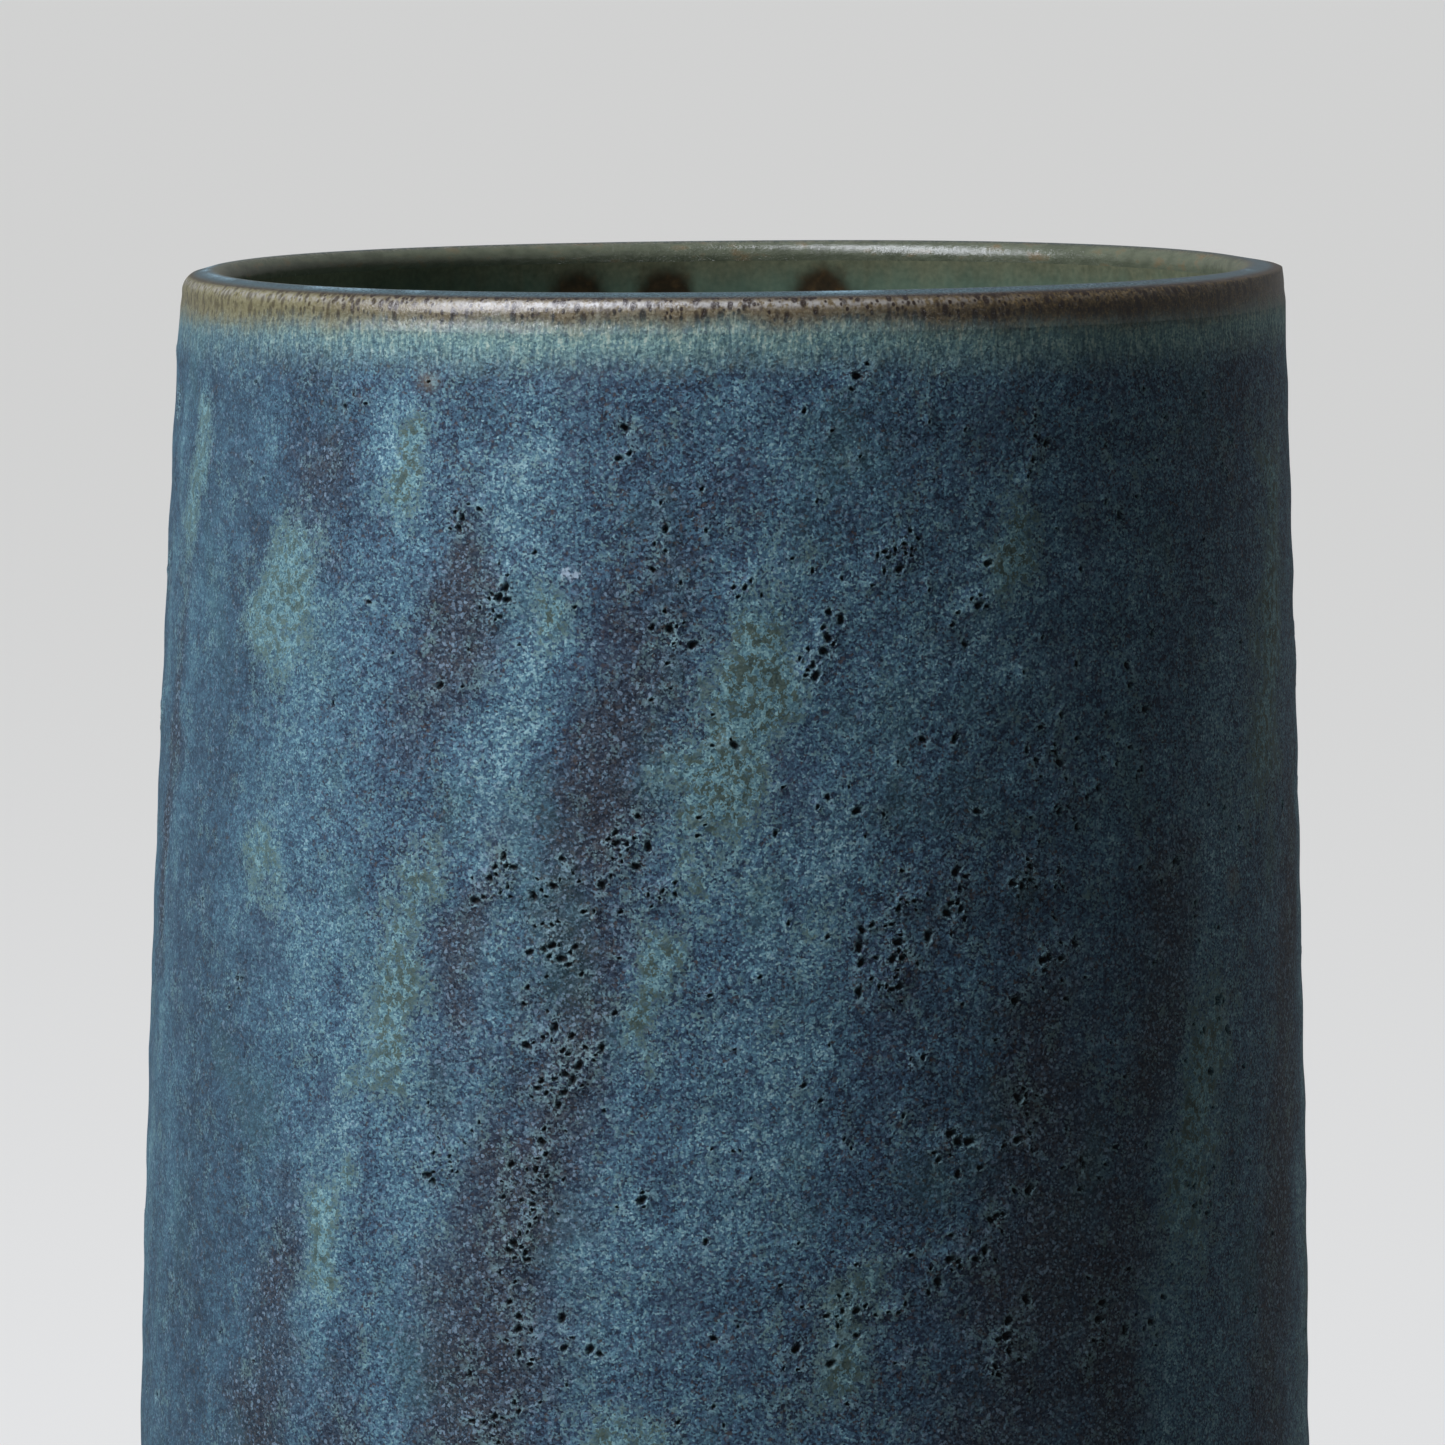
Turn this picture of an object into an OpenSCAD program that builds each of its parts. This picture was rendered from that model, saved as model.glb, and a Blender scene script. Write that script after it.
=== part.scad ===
// A stoneware vase: a thrown clay body on a turned foot, with its coats of glaze.
// Millimetres, +Z up. The origin is the centre of the foot's standing face, and -Y is the front.

/* [Body] */
// Overall height, from the foot's face to the top of the lip
height = 205; // [180:1:240]
// Outside diameter at the lip
rim_d = 104; // [90:1:112]
// Outside diameter at the widest point
belly_d = 114; // [112:1:124]
// Height of the widest point
belly_z = 52; // [40:1:70]
// How quickly the wall leaves the belly: 1 is a straight cone, 2 a round barrel
taper = 1.5; // [1.2:0.1:2]

/* [Foot] */
// Outside diameter of the foot ring
foot_d = 92; // [84:1:93]
// Width of the foot ring
foot_w = 6; // [4:0.5:8]
// Height of the foot ring
foot_h = 6; // [5:0.5:8]
// Bevel on the lower edges of the foot ring
foot_bevel = 0.8; // [0.4:0.1:1.2]
// How far the body stands out over the foot ring
foot_ledge = 1; // [1:0.1:2]

/* [Wall] */
// Thickness of the finished wall at the lip
lip_t = 4.2; // [3.8:0.1:4.8]
// Thickness of the finished wall at the belly
wall_t = 5.2; // [4.8:0.1:6.5]
// Thickness of the finished wall where it meets the floor
heel_t = 8; // [7:0.5:10]
// Thickness of the finished floor
floor_t = 7; // [6:0.5:9]
// Outward slope of the top of the lip, in degrees
lip_tilt = 16; // [8:1:20]

/* [Glaze] */
// Thickness of the blue coat on the outside
outer_coat_t = 0.6; // [0.4:0.1:0.8]
// Thickness of the green coat on the inside
liner_coat_t = 0.5; // [0.4:0.1:0.8]
// Thickness of the thin brown coat on top of the lip
lip_coat_t = 0.4; // [0.3:0.1:0.6]
// Depth of the brown lip band outside
lip_band_out = 3.5; // [3:0.5:6]
// Depth of the brown lip band inside
lip_band_in = 2; // [2:0.05:2.2]
// Height of the line where the blue coat stops above the foot
glaze_line_z = 9.5; // [9:0.5:12]
// How far the pale runs stand proud of the blue coat
run_t = 0.3; // [0.2:0.05:0.4]
// Sideways drift of a run for each millimetre that it comes down
run_lean = 0.2; // [0:0.05:0.25]

/* [Iron spots] */
// Diameter of a spot
spot_d = 7; // [5:0.5:7]
// Depth of a spot's centre below the lip
spot_drop = 6; // [6:0.5:10]

/* [Hidden] */
$fn = 144;
rim_r = rim_d / 2;
belly_r = belly_d / 2;
foot_r = foot_d / 2;
floor_z = foot_h + floor_t;
lip_out_round = 1.8;
lip_out_turn = 60;
lip_in_round = 1.5;
turn_steps = 50;
arc_steps = 6;
run_steps = 12;
run_margin = 1;
radial_reach = 2 * belly_r;

// Angle about the axis of each iron spot, counted from the front towards +X.
spot_angles = [169, 188, 199];

// Each pale run: angle from the front towards +X, drop of its top below the lip, length, width.
runs = [
    [-67, 10, 18, 5], [-47, 19, 17, 8], [-32, 9, 11, 5], [-16, 25, 7, 4], [4, 23, 30, 7],
    [29, 15, 12, 4], [72, 14, 36, 7], [104, 22, 30, 8], [135, 9, 40, 6], [168, 26, 34, 8],
    [200, 14, 28, 7], [232, 20, 40, 8], [262, 12, 26, 6],
    [-49, 46, 10, 5], [-30, 47, 26, 6], [-5, 54, 14, 5], [55, 62, 30, 7], [88, 70, 34, 6],
    [120, 60, 28, 7], [152, 74, 36, 8], [184, 68, 30, 6], [216, 72, 26, 7], [250, 56, 32, 8],
    [-39, 79, 12, 5], [12, 86, 12, 6], [-8, 97, 28, 8], [34, 108, 30, 7], [70, 112, 26, 7],
    [140, 118, 28, 7], [206, 110, 30, 7], [268, 100, 32, 8]
];

// Radius of the outside at height z. Below the belly it is an ellipse that meets the foot's
// ledge, and above it a slow taper to the lip.
round_drop = (belly_z - foot_h) / sqrt(1 - pow((foot_r + foot_ledge) / belly_r, 2));
function up(z) = (z - belly_z) / (height - belly_z);
function outside_r(z) = z < belly_z
    ? belly_r * sqrt(1 - pow((belly_z - z) / round_drop, 2))
    : belly_r - (belly_r - rim_r) * pow(up(z), taper);

// Horizontal thickness of the finished wall at height z.
function down(z) = (belly_z - z) / (belly_z - floor_z);
function thickness(z) = z < belly_z
    ? wall_t + (heel_t - wall_t) * pow(down(z), 2)
    : wall_t + (lip_t - wall_t) * up(z);

// The outline is turned in short straight steps, and every surface uses the same steps, so
// that each coat lies on the clay with no gap.
steps = [for (i = [0:turn_steps]) foot_h + (height - foot_h) * i / turn_steps];
outside_line = [for (z = steps) [z, outside_r(z)]];
inside_line = [for (z = steps) [z, outside_r(z) - thickness(z)]];
function coat_r(z) = lookup(z, outside_line);
function clay_r(z) = coat_r(z) - outer_coat_t;
function liner_r(z) = lookup(z, inside_line);
function hollow_r(z) = liner_r(z) + liner_coat_t;
function levels(low, high) = concat([low], [for (z = steps) if (z > low && z < high) z], [high]);

// A surface's outline between two heights, with radius(z) as its distance from the axis.
function rising(radius, low, high) = [for (z = levels(low, high)) [radius(z), z]];
function reversed(points) = [for (i = [len(points) - 1:-1:0]) points[i]];
function falling(radius, low, high) = reversed(rising(radius, low, high));

// Points of an arc about centre c, from angle a to angle b.
function arc(c, radius, a, b) =
    [for (i = [0:arc_steps]) let (t = a + (b - a) * i / arc_steps)
        c + radius * [cos(t), sin(t)]];

// The lip: a round shoulder outside that ends in a soft edge, a top that slopes outward and a
// round inside. The slope of the top sets the height of the shoulder.
in_centre = [liner_r(height) + lip_in_round, height - lip_in_round];
top_inner = in_centre + lip_in_round * [sin(lip_tilt), cos(lip_tilt)];
shoulder_x = coat_r(height) - lip_out_round;
edge_x = shoulder_x + lip_out_round * cos(lip_out_turn);
edge_z = top_inner[1] - (edge_x - top_inner[0]) * tan(lip_tilt);
out_centre = [shoulder_x, edge_z - lip_out_round * sin(lip_out_turn)];
clay_out_centre = [shoulder_x - outer_coat_t + lip_coat_t, out_centre[1]];
clay_in_centre = [in_centre[0] + liner_coat_t - lip_coat_t, in_centre[1]];
out_round_z = out_centre[1];
in_round_z = in_centre[1];
function lip_over(outer, inner, coat) = concat(
    arc(outer, lip_out_round - coat, 0, lip_out_turn),
    arc(inner, lip_in_round - coat, 90 - lip_tilt, 180));
function finished_lip() = lip_over(out_centre, in_centre, 0);
function clay_lip() = lip_over(clay_out_centre, clay_in_centre, lip_coat_t);
// The straight part of each surface stops this far below its round.
lip_join = 0.3;
out_stop = out_round_z - lip_join;
in_stop = in_round_z - lip_join / 3;

module turned(points) {
    rotate_extrude() polygon(points);
}

module clay_wall() {
    color("tan") turned(concat(
        rising(function (z) clay_r(z), floor_z, out_stop),
        clay_lip(),
        falling(function (z) hollow_r(z), floor_z, in_stop)));
}

// The floor: its edge carries the wall, and the shallow hollow in it is the liner's seat.
module clay_base() {
    seat_z = floor_z - liner_coat_t;
    color("tan") turned(concat(
        [[0, foot_h]],
        rising(function (z) clay_r(z), foot_h, floor_z),
        [[hollow_r(floor_z), floor_z], [hollow_r(floor_z), seat_z], [0, seat_z]]));
}

module foot_ring() {
    inner_r = foot_r - foot_w;
    color("burlywood") turned([
        [inner_r, foot_bevel], [inner_r + foot_bevel, 0],
        [foot_r - foot_bevel, 0], [foot_r, foot_bevel],
        [foot_r, foot_h], [inner_r, foot_h]]);
}

module outer_glaze() {
    band_z = height - lip_band_out;
    color("steelblue") turned(concat(
        rising(function (z) coat_r(z), glaze_line_z, band_z),
        falling(function (z) clay_r(z), glaze_line_z, band_z)));
}

// Outline of one run, hanging down from its top at [0, 0]: a narrow start, a long body and a
// round end, drifting sideways as it comes down.
function run_half(s, width) = width / 2 * pow(s, 0.4) * sqrt(1 - pow(s, 5));
function run_side(side, length, width) =
    [for (i = [0:run_steps]) let (s = i / run_steps)
        [side * run_half(s, width) - run_lean * s * length, -s * length]];
function run_outline(length, width) = concat(
    run_side(1, length, width),
    [for (i = [run_steps - 1:-1:1]) run_side(-1, length, width)[i]]);

module glaze_run(angle, drop, length, width) {
    top = height - drop;
    low = top - length - run_margin;
    high = top + run_margin;
    intersection() {
        turned(concat(
            rising(function (z) coat_r(z) + run_t, low, high),
            falling(function (z) coat_r(z), low, high)));
        rotate([0, 0, angle]) translate([0, 0, top]) rotate([90, 0, 0])
            linear_extrude(radial_reach) polygon(run_outline(length, width));
    }
}

module glaze_runs() {
    color("cadetblue") for (r = runs) glaze_run(r[0], r[1], r[2], r[3]);
}

module lip_glaze() {
    out_z = height - lip_band_out;
    in_z = height - lip_band_in;
    color("peru") turned(concat(
        rising(function (z) coat_r(z), out_z, out_stop),
        finished_lip(),
        falling(function (z) liner_r(z), in_z, in_stop),
        rising(function (z) hollow_r(z), in_z, in_stop),
        reversed(clay_lip()),
        falling(function (z) clay_r(z), out_z, out_stop)));
}

// The liner: a thin cup inside the clay, from the floor up to the lip band.
module liner_cup() {
    seat_z = floor_z - liner_coat_t;
    band_z = height - lip_band_in;
    turned(concat(
        [[0, seat_z], [hollow_r(floor_z), seat_z]],
        rising(function (z) hollow_r(z), floor_z, band_z),
        falling(function (z) liner_r(z), floor_z, band_z),
        [[0, floor_z]]));
}

module spot_plugs() {
    for (a = spot_angles)
        rotate([0, 0, a]) translate([0, 0, height - spot_drop]) rotate([90, 0, 0])
            cylinder(d = spot_d, h = radial_reach);
}

module liner_glaze() {
    color("darkseagreen") difference() {
        liner_cup();
        spot_plugs();
    }
}

module iron_spots() {
    color("saddlebrown") intersection() {
        liner_cup();
        spot_plugs();
    }
}

clay_wall();
clay_base();
foot_ring();
outer_glaze();
glaze_runs();
lip_glaze();
liner_glaze();
iron_spots();
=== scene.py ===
# %% [markdown]
# # A stoneware vase and its glazes
# The vase is a thrown clay pot with several coats of glaze fused onto it. The CAD model already
# holds the true sizes, so nothing here is fitted by eye: each new piece is worked out from the
# same formulas, with the small unevenness that a hand and a kiln leave behind.

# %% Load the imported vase
import math

import bpy
import numpy as np
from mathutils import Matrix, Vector
from mathutils.geometry import delaunay_2d_cdt


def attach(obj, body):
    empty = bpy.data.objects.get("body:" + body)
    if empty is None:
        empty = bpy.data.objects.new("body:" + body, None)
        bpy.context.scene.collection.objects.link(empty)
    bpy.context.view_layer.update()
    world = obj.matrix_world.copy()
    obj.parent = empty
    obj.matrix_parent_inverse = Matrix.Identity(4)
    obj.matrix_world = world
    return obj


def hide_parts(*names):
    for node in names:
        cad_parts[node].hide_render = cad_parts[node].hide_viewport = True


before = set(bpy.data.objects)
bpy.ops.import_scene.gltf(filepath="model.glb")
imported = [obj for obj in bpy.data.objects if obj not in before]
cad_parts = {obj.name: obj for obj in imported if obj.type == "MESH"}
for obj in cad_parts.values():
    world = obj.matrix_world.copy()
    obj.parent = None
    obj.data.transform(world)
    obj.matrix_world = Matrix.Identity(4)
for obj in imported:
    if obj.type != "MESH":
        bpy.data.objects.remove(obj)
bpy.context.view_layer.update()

print("CAD nodes:", sorted(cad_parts))

# %% [markdown]
# ## The thrown form
# A potter thinks of this pot as an outline turned about an axis: a full round low down and a
# slow taper to a thin lip. The sizes below are the CAD model's, in millimetres. Angles are
# counted from the front of the vase (-Y) towards +X, so a mark at a positive angle is on the
# right of the picture. One function says how far the potter's hand strayed from the true
# outline, and every piece uses it, so the coats stay snug on the clay.

# %% Sizes of the pot
MM = 0.001
TURN = 2 * math.pi
HEIGHT = 205.0
RIM_R = 52.0
BELLY_R = 57.0
BELLY_Z = 52.0
TAPER = 1.5
FOOT_R = 46.0
FOOT_W = 6.0
FOOT_H = 6.0
FOOT_BEVEL = 0.8
FOOT_LEDGE = 1.0
FLOOR_Z = 13.0
LIP_T = 4.2
WALL_T = 5.2
HEEL_T = 8.0
OUTER_COAT = 0.6
LINER_COAT = 0.5
LIP_COAT = 0.4
GLAZE_LINE_Z = 9.5
BAND_OUT_Z = HEIGHT - 3.5
BAND_IN_Z = HEIGHT - 2.0
MEAN_R = 54.0


# %% The outline
def ease(value, low=0.0, high=1.0):
    """0 below low, 1 above high, and a smooth S between them."""
    t = np.clip((value - low) / (high - low), 0, 1)
    return t * t * (3 - 2 * t)


def bell(value, centre, width):
    """1 at the centre, falling smoothly to nearly 0 two widths away on both sides."""
    return np.exp(-(((value - centre) / width) ** 2))


def turned_from(angle, degrees):
    """Radians from a direction, given in degrees, to an angle, the short way round."""
    return (angle - math.radians(degrees) + math.pi) % TURN - math.pi


def outside_radius(z):
    """Radius of the outside: an ellipse from the foot to the belly, then a slow taper."""
    z = np.asarray(z, float)
    drop = (BELLY_Z - FOOT_H) / math.sqrt(1 - ((FOOT_R + FOOT_LEDGE) / BELLY_R) ** 2)
    low_part = BELLY_R * np.sqrt(np.clip(1 - ((BELLY_Z - z) / drop) ** 2, 0, 1))
    up = np.clip((z - BELLY_Z) / (HEIGHT - BELLY_Z), 0, 1)
    return np.where(z < BELLY_Z, low_part, BELLY_R - (BELLY_R - RIM_R) * up**TAPER)


def inside_radius(z):
    """Radius of the inside: the outside less a wall that thickens from the lip to the heel."""
    z = np.asarray(z, float)
    down = (BELLY_Z - z) / (BELLY_Z - FLOOR_Z)
    up = (z - BELLY_Z) / (HEIGHT - BELLY_Z)
    low_wall = WALL_T + (HEEL_T - WALL_T) * down**2
    high_wall = WALL_T + (LIP_T - WALL_T) * up
    return outside_radius(z) - np.where(z < BELLY_Z, low_wall, high_wall)


print("Widest radius:", float(outside_radius(BELLY_Z)), "mm, mouth:", float(inside_radius(HEIGHT)))

# %% The hand
OVAL = 0.15
OVAL_TWIST = 60.0
THREE_LOBES = 0.08
LOBE_TWIST = 45.0
THROWING_RING = 0.05
RING_PITCH = 8.5
SWAY = 0.8
DIP = 0.33
DIP_RIPPLE = 0.07
DIP_FROM_Z = 140.0


def hand_wobble(angle, z):
    """Radius lost to the hand: an oval and three lobes that twist with height, and faint rings."""
    oval = OVAL * (np.cos(2 * angle + z / OVAL_TWIST) - 1)
    lobes = THREE_LOBES * (np.cos(3 * angle - z / LOBE_TWIST + 1) - 1)
    rings = THROWING_RING * (np.cos(TURN * z / RING_PITCH + angle) - 1)
    return oval + lobes + rings


def place(angle, radius, z):
    """Points in metres. The wall sways a little to the right and the lip dips to the left."""
    sway = SWAY * (z / HEIGHT) ** 2
    dip = DIP * (1 - np.sin(angle)) + DIP_RIPPLE * (1 - np.sin(3 * angle + 1))
    x = radius * np.sin(angle) + sway
    y = -radius * np.cos(angle)
    low_z = z - dip * ease(z, DIP_FROM_Z, HEIGHT)
    return np.stack(np.broadcast_arrays(x, y, low_z), axis=-1) * MM


print("The front of the lip at", place(0.0, RIM_R, HEIGHT).round(4).tolist(), "m")

# %% [markdown]
# ## The studio
# The picture looks slightly down on the rim from close by with a long lens, so the mouth is a
# thin ellipse. One tall soft panel stands high on the left like a window: it lights the wall and
# leaves a white line on the lip, which pale flecks painted on the lip's shoulder make brighter. A
# dim sky fills the shadows, and it is brighter behind the vase so that the back and the far side
# can be seen too. The floor is a plain pale sheet that runs on to the horizon. Much of its
# paleness is its own, and it looks paler to the eye than to the light, so that it keeps the vase's
# shadow but throws little light back on the vase.

# %% Camera
CAMERA_DISTANCE = 0.650
CAMERA_RISE = 0.0324
FRAME_PIXELS = 1445
FOCAL_PIXELS = 6878
SENSOR_MM = 36.0
LOOK_DOWN = math.radians(6.70)
LOOK_LEFT = math.radians(0.012)

camera = bpy.data.objects.new("camera", bpy.data.cameras.new("camera"))
camera.data.sensor_width = SENSOR_MM
camera.data.lens = FOCAL_PIXELS * SENSOR_MM / FRAME_PIXELS
camera.location = (0, -CAMERA_DISTANCE, HEIGHT * MM + CAMERA_RISE)
camera.rotation_euler = (math.pi / 2 - LOOK_DOWN, 0, LOOK_LEFT)
bpy.context.collection.objects.link(camera)
bpy.context.scene.camera = camera
bpy.context.scene.view_settings.view_transform = "Standard"
print("Lens:", round(camera.data.lens, 1), "mm")


# %% Lamps
DAYLIGHT = (0.97, 1.0, 1.1)
PANEL_AIM = Vector((0, 0, 0.14))


def soft_panel(name, azimuth, elevation, distance, width, height, watts):
    """A rectangular lamp that faces the upper part of the vase, placed by two angles."""
    a, e = math.radians(azimuth), math.radians(elevation)
    away = Vector((math.sin(a) * math.cos(e), -math.cos(a) * math.cos(e), math.sin(e)))
    light = bpy.data.lights.new(name, "AREA")
    light.shape = "RECTANGLE"
    light.size = width
    light.size_y = height
    light.energy = watts
    light.color = DAYLIGHT
    lamp = bpy.data.objects.new(name, light)
    lamp.location = PANEL_AIM + away * distance
    lamp.rotation_mode = "QUATERNION"
    lamp.rotation_quaternion = (-away).to_track_quat("-Z", "Y")
    bpy.context.collection.objects.link(lamp)
    return lamp


window = soft_panel("window_panel", azimuth=-59, elevation=46, distance=1.1,
                    width=0.45, height=1.3, watts=15.5)
print("The window panel stands at", [round(value, 2) for value in window.location])

# %% Node helpers
IN_REFLECTIONS = 0.25


def feed(tree, socket, value):
    """Join an output to an input, or set the input to a plain number or colour."""
    if isinstance(value, bpy.types.NodeSocket):
        tree.links.new(value, socket)
    else:
        socket.default_value = value


def add_node(tree, kind, **inputs):
    """A new shader node with some inputs given by name, an underscore standing for a space."""
    node = tree.nodes.new("ShaderNode" + kind)
    for name, value in inputs.items():
        feed(tree, node.inputs[name.replace("_", " ")], value)
    return node


def worked_out(tree, operation, a, b):
    """The result of one step of arithmetic on two values."""
    node = add_node(tree, "Math")
    node.operation = operation
    feed(tree, node.inputs[0], a)
    feed(tree, node.inputs[1], b)
    return node.outputs[0]


def mix_by_ray(tree, most, lit, seen, target):
    """Light comes from the lit shader; the eye, and more faintly reflections, get the seen one."""
    ray = add_node(tree, "LightPath").outputs
    reflected = worked_out(tree, "MAXIMUM", ray["Is Glossy Ray"], ray["Is Transmission Ray"])
    faint = worked_out(tree, "MULTIPLY", reflected, IN_REFLECTIONS)
    feed(tree, seen.inputs["Strength"], worked_out(tree, "MAXIMUM", faint, ray["Is Camera Ray"]))
    either = worked_out(tree, "MAXIMUM", reflected, ray["Is Camera Ray"])
    share = worked_out(tree, "MULTIPLY", either, most)
    choose = add_node(tree, "MixShader")
    for socket, output in zip(choose.inputs, (share, lit.outputs[0], seen.outputs[0])):
        tree.links.new(output, socket)
    tree.links.new(choose.outputs[0], target)


# %% Sky
BACKDROP = (0.60, 0.60, 0.59, 1)
FILL_COLOUR = (0.92, 0.96, 1.0, 1)
FILL = 0.06
BACK_FILL = 1.0
BACK_WAY = (0.3, 0.82, 0.49)
BACK_EDGE = 0.55

sky = bpy.data.worlds.new("studio_sky")
sky.use_nodes = True
sky_tree = sky.node_tree
backness = add_node(sky_tree, "VectorMath")
backness.operation = "DOT_PRODUCT"
feed(sky_tree, backness.inputs[0], add_node(sky_tree, "TexCoord").outputs["Generated"])
feed(sky_tree, backness.inputs[1], BACK_WAY)
fill_level = add_node(sky_tree, "MapRange", Value=backness.outputs["Value"], From_Min=BACK_EDGE,
                      To_Min=FILL, To_Max=FILL + BACK_FILL)
fill_level.interpolation_type = "SMOOTHSTEP"
fill_sky = sky_tree.nodes["Background"]
feed(sky_tree, fill_sky.inputs["Color"], FILL_COLOUR)
feed(sky_tree, fill_sky.inputs["Strength"], fill_level.outputs[0])
seen_sky = add_node(sky_tree, "Background", Color=BACKDROP)
mix_by_ray(sky_tree, 1.0, fill_sky, seen_sky, sky_tree.nodes["World Output"].inputs["Surface"])
bpy.context.scene.world = sky
print("Sky:", FILL, "all round, and", FILL + BACK_FILL, "behind the vase")

# %% Floor
PALE = (1.0, 1.0, 0.99, 1)
FLOOR_HALF = 30.0
FLOOR_OWN_LIGHT = 0.56
FLOOR_TO_LIGHT = 0.1
FLOOR_TO_EYE = 0.65
PAPER_ROUGHNESS = 0.9

paper = bpy.data.materials.new("pale_paper")
paper.use_nodes = True
paper_tree = paper.node_tree
eye_ray = add_node(paper_tree, "LightPath").outputs["Is Camera Ray"]
paper_tone = add_node(paper_tree, "MapRange", Value=eye_ray, To_Min=FLOOR_TO_LIGHT, To_Max=FLOOR_TO_EYE)
paper_lit = paper_tree.nodes["Principled BSDF"]
feed(paper_tree, paper_lit.inputs["Base Color"], paper_tone.outputs[0])
feed(paper_tree, paper_lit.inputs["Roughness"], PAPER_ROUGHNESS)
paper_seen = add_node(paper_tree, "Emission", Color=PALE)
mix_by_ray(paper_tree, FLOOR_OWN_LIGHT, paper_lit, paper_seen,
           paper_tree.nodes["Material Output"].inputs["Surface"])

floor_mesh = bpy.data.meshes.new("floor")
floor_corners = np.array([[-1, -1, 0], [1, -1, 0], [1, 1, 0], [-1, 1, 0]]) * FLOOR_HALF
floor_mesh.from_pydata(floor_corners.tolist(), [], [(0, 1, 2, 3)])
floor_mesh.materials.append(paper)
floor = bpy.data.objects.new("floor", floor_mesh)
bpy.context.collection.objects.link(floor)
print("Floor:", 2 * FLOOR_HALF, "m square")

# %% [markdown]
# ## Putting an array into a mesh
# Each piece below is a block of numbers: rows along an outline, columns around the axis. Blender
# only has to be told which corners make a face. An outline that returns to its start gives a
# ring, and one that starts and ends on the axis gives a closed cup with a single point at
# each pole. Edges that are crisp on the pot are marked sharp so that smooth shading stops there.

# %% Mesh helpers
COLUMNS = 264
around = np.linspace(-math.pi, math.pi, COLUMNS, endpoint=False)


def enclosed(mesh):
    """Volume inside a closed mesh: a third of each triangle's flux, negative if inside out."""
    mesh.calc_loop_triangles()
    corners = np.empty(len(mesh.loop_triangles) * 3, np.int32)
    mesh.loop_triangles.foreach_get("vertices", corners)
    points = np.empty(len(mesh.vertices) * 3)
    mesh.vertices.foreach_get("co", points)
    a, b, c = points.reshape(-1, 3)[corners.reshape(-1, 3)].transpose(1, 0, 2)
    return float((np.cross(a, b) * c).sum() / 6)


def make_piece(name, points, faces, sharp_rings=(), marks=None):
    """A smooth object from points (n x 3, metres), faces, and marks (a value at each point)."""
    mesh = bpy.data.meshes.new(name)
    mesh.from_pydata(points.tolist(), [], faces)
    mesh.polygons.foreach_set("use_smooth", np.ones(len(mesh.polygons), bool))
    ends = np.empty(len(mesh.edges) * 2, np.int32)
    mesh.edges.foreach_get("vertices", ends)
    sharp = np.zeros(len(mesh.edges), bool)
    for ring in sharp_rings:
        sharp |= np.isin(ends.reshape(-1, 2), ring).all(axis=1)
    mesh.attributes.new("sharp_edge", "BOOLEAN", "EDGE").data.foreach_set("value", sharp)
    for mark, values in (marks or {}).items():
        layer = mesh.attributes.new(mark, "FLOAT", "POINT")
        layer.data.foreach_set("value", np.asarray(values, np.float32).ravel())
    if enclosed(mesh) < 0:
        mesh.flip_normals()
    piece = bpy.data.objects.new(name, mesh)
    bpy.context.collection.objects.link(piece)
    print(name, "has", len(mesh.vertices), "points and holds", round(enclosed(mesh) * 1e6, 2), "ml")
    return piece


print("Columns around the axis:", COLUMNS, "each", round(TURN * MEAN_R / COLUMNS, 2), "mm wide")


# %% Faces and outlines
def ring_faces(rows, columns, closed):
    """Quads of a grid that closes around its columns, and around its rows too if closed."""
    row = np.arange(rows if closed else rows - 1)[:, None]
    column = np.arange(columns)[None, :]
    next_row = (row + 1) % rows
    next_column = (column + 1) % columns
    corners = [
        row * columns + column,
        row * columns + next_column,
        next_row * columns + next_column,
        next_row * columns + column,
    ]
    return np.stack(np.broadcast_arrays(*corners), axis=-1).reshape(-1, 4)


def fan_faces(first, columns, pole, last):
    """Triangles from the ring of points that starts at `first` to one pole point."""
    here = first + np.arange(columns)
    there = first + (np.arange(columns) + 1) % columns
    tip = np.full(columns, pole)
    return np.stack([here, there, tip] if last else [there, here, tip], axis=-1)


def line(radius, z):
    """An outline as rows of (radius, z), with either one given as a single number."""
    return np.stack(np.broadcast_arrays(np.asarray(radius, float), np.asarray(z, float)), axis=-1)


print("A ring of two rows has", len(ring_faces(2, COLUMNS, False)), "faces")


# %% Turned shapes
def turned(outline):
    """An outline (rows of radius, z in mm) carried around the axis, with the hand's wobble."""
    angle = around[None, :]
    radius, z = np.moveaxis(outline.reshape(len(outline), -1, 2), -1, 0)
    near_axis = np.clip(radius / FOOT_R, 0, 1)
    return place(angle, radius + near_axis * hand_wobble(angle, z), z)


def turned_ring(name, outline, sharp_rows, marks=None):
    """A ring whose outline returns to its start."""
    numbers = np.arange(len(outline) * COLUMNS).reshape(len(outline), COLUMNS)
    return make_piece(name, turned(outline).reshape(-1, 3),
                      ring_faces(len(outline), COLUMNS, True).tolist(),
                      [numbers[row] for row in sharp_rows], marks)


def turned_cup(name, outline, low_pole, high_pole, sharp_rows, marks=None):
    """A closed shape whose outline starts and ends on the axis, at two pole heights."""
    rows = len(outline)
    numbers = np.arange(rows * COLUMNS).reshape(rows, COLUMNS)
    poles = place(np.zeros(2), np.zeros(2), np.array([low_pole, high_pole]))
    faces = ring_faces(rows, COLUMNS, False).tolist()
    faces += fan_faces(0, COLUMNS, rows * COLUMNS, False).tolist()
    faces += fan_faces((rows - 1) * COLUMNS, COLUMNS, rows * COLUMNS + 1, True).tolist()
    return make_piece(name, np.concatenate([turned(outline).reshape(-1, 3), poles]), faces,
                      [numbers[row] for row in sharp_rows], marks)


print("A straight outline of 1 mm turns into", turned(line(RIM_R, [0.0, 1.0])).shape, "numbers")

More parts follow.
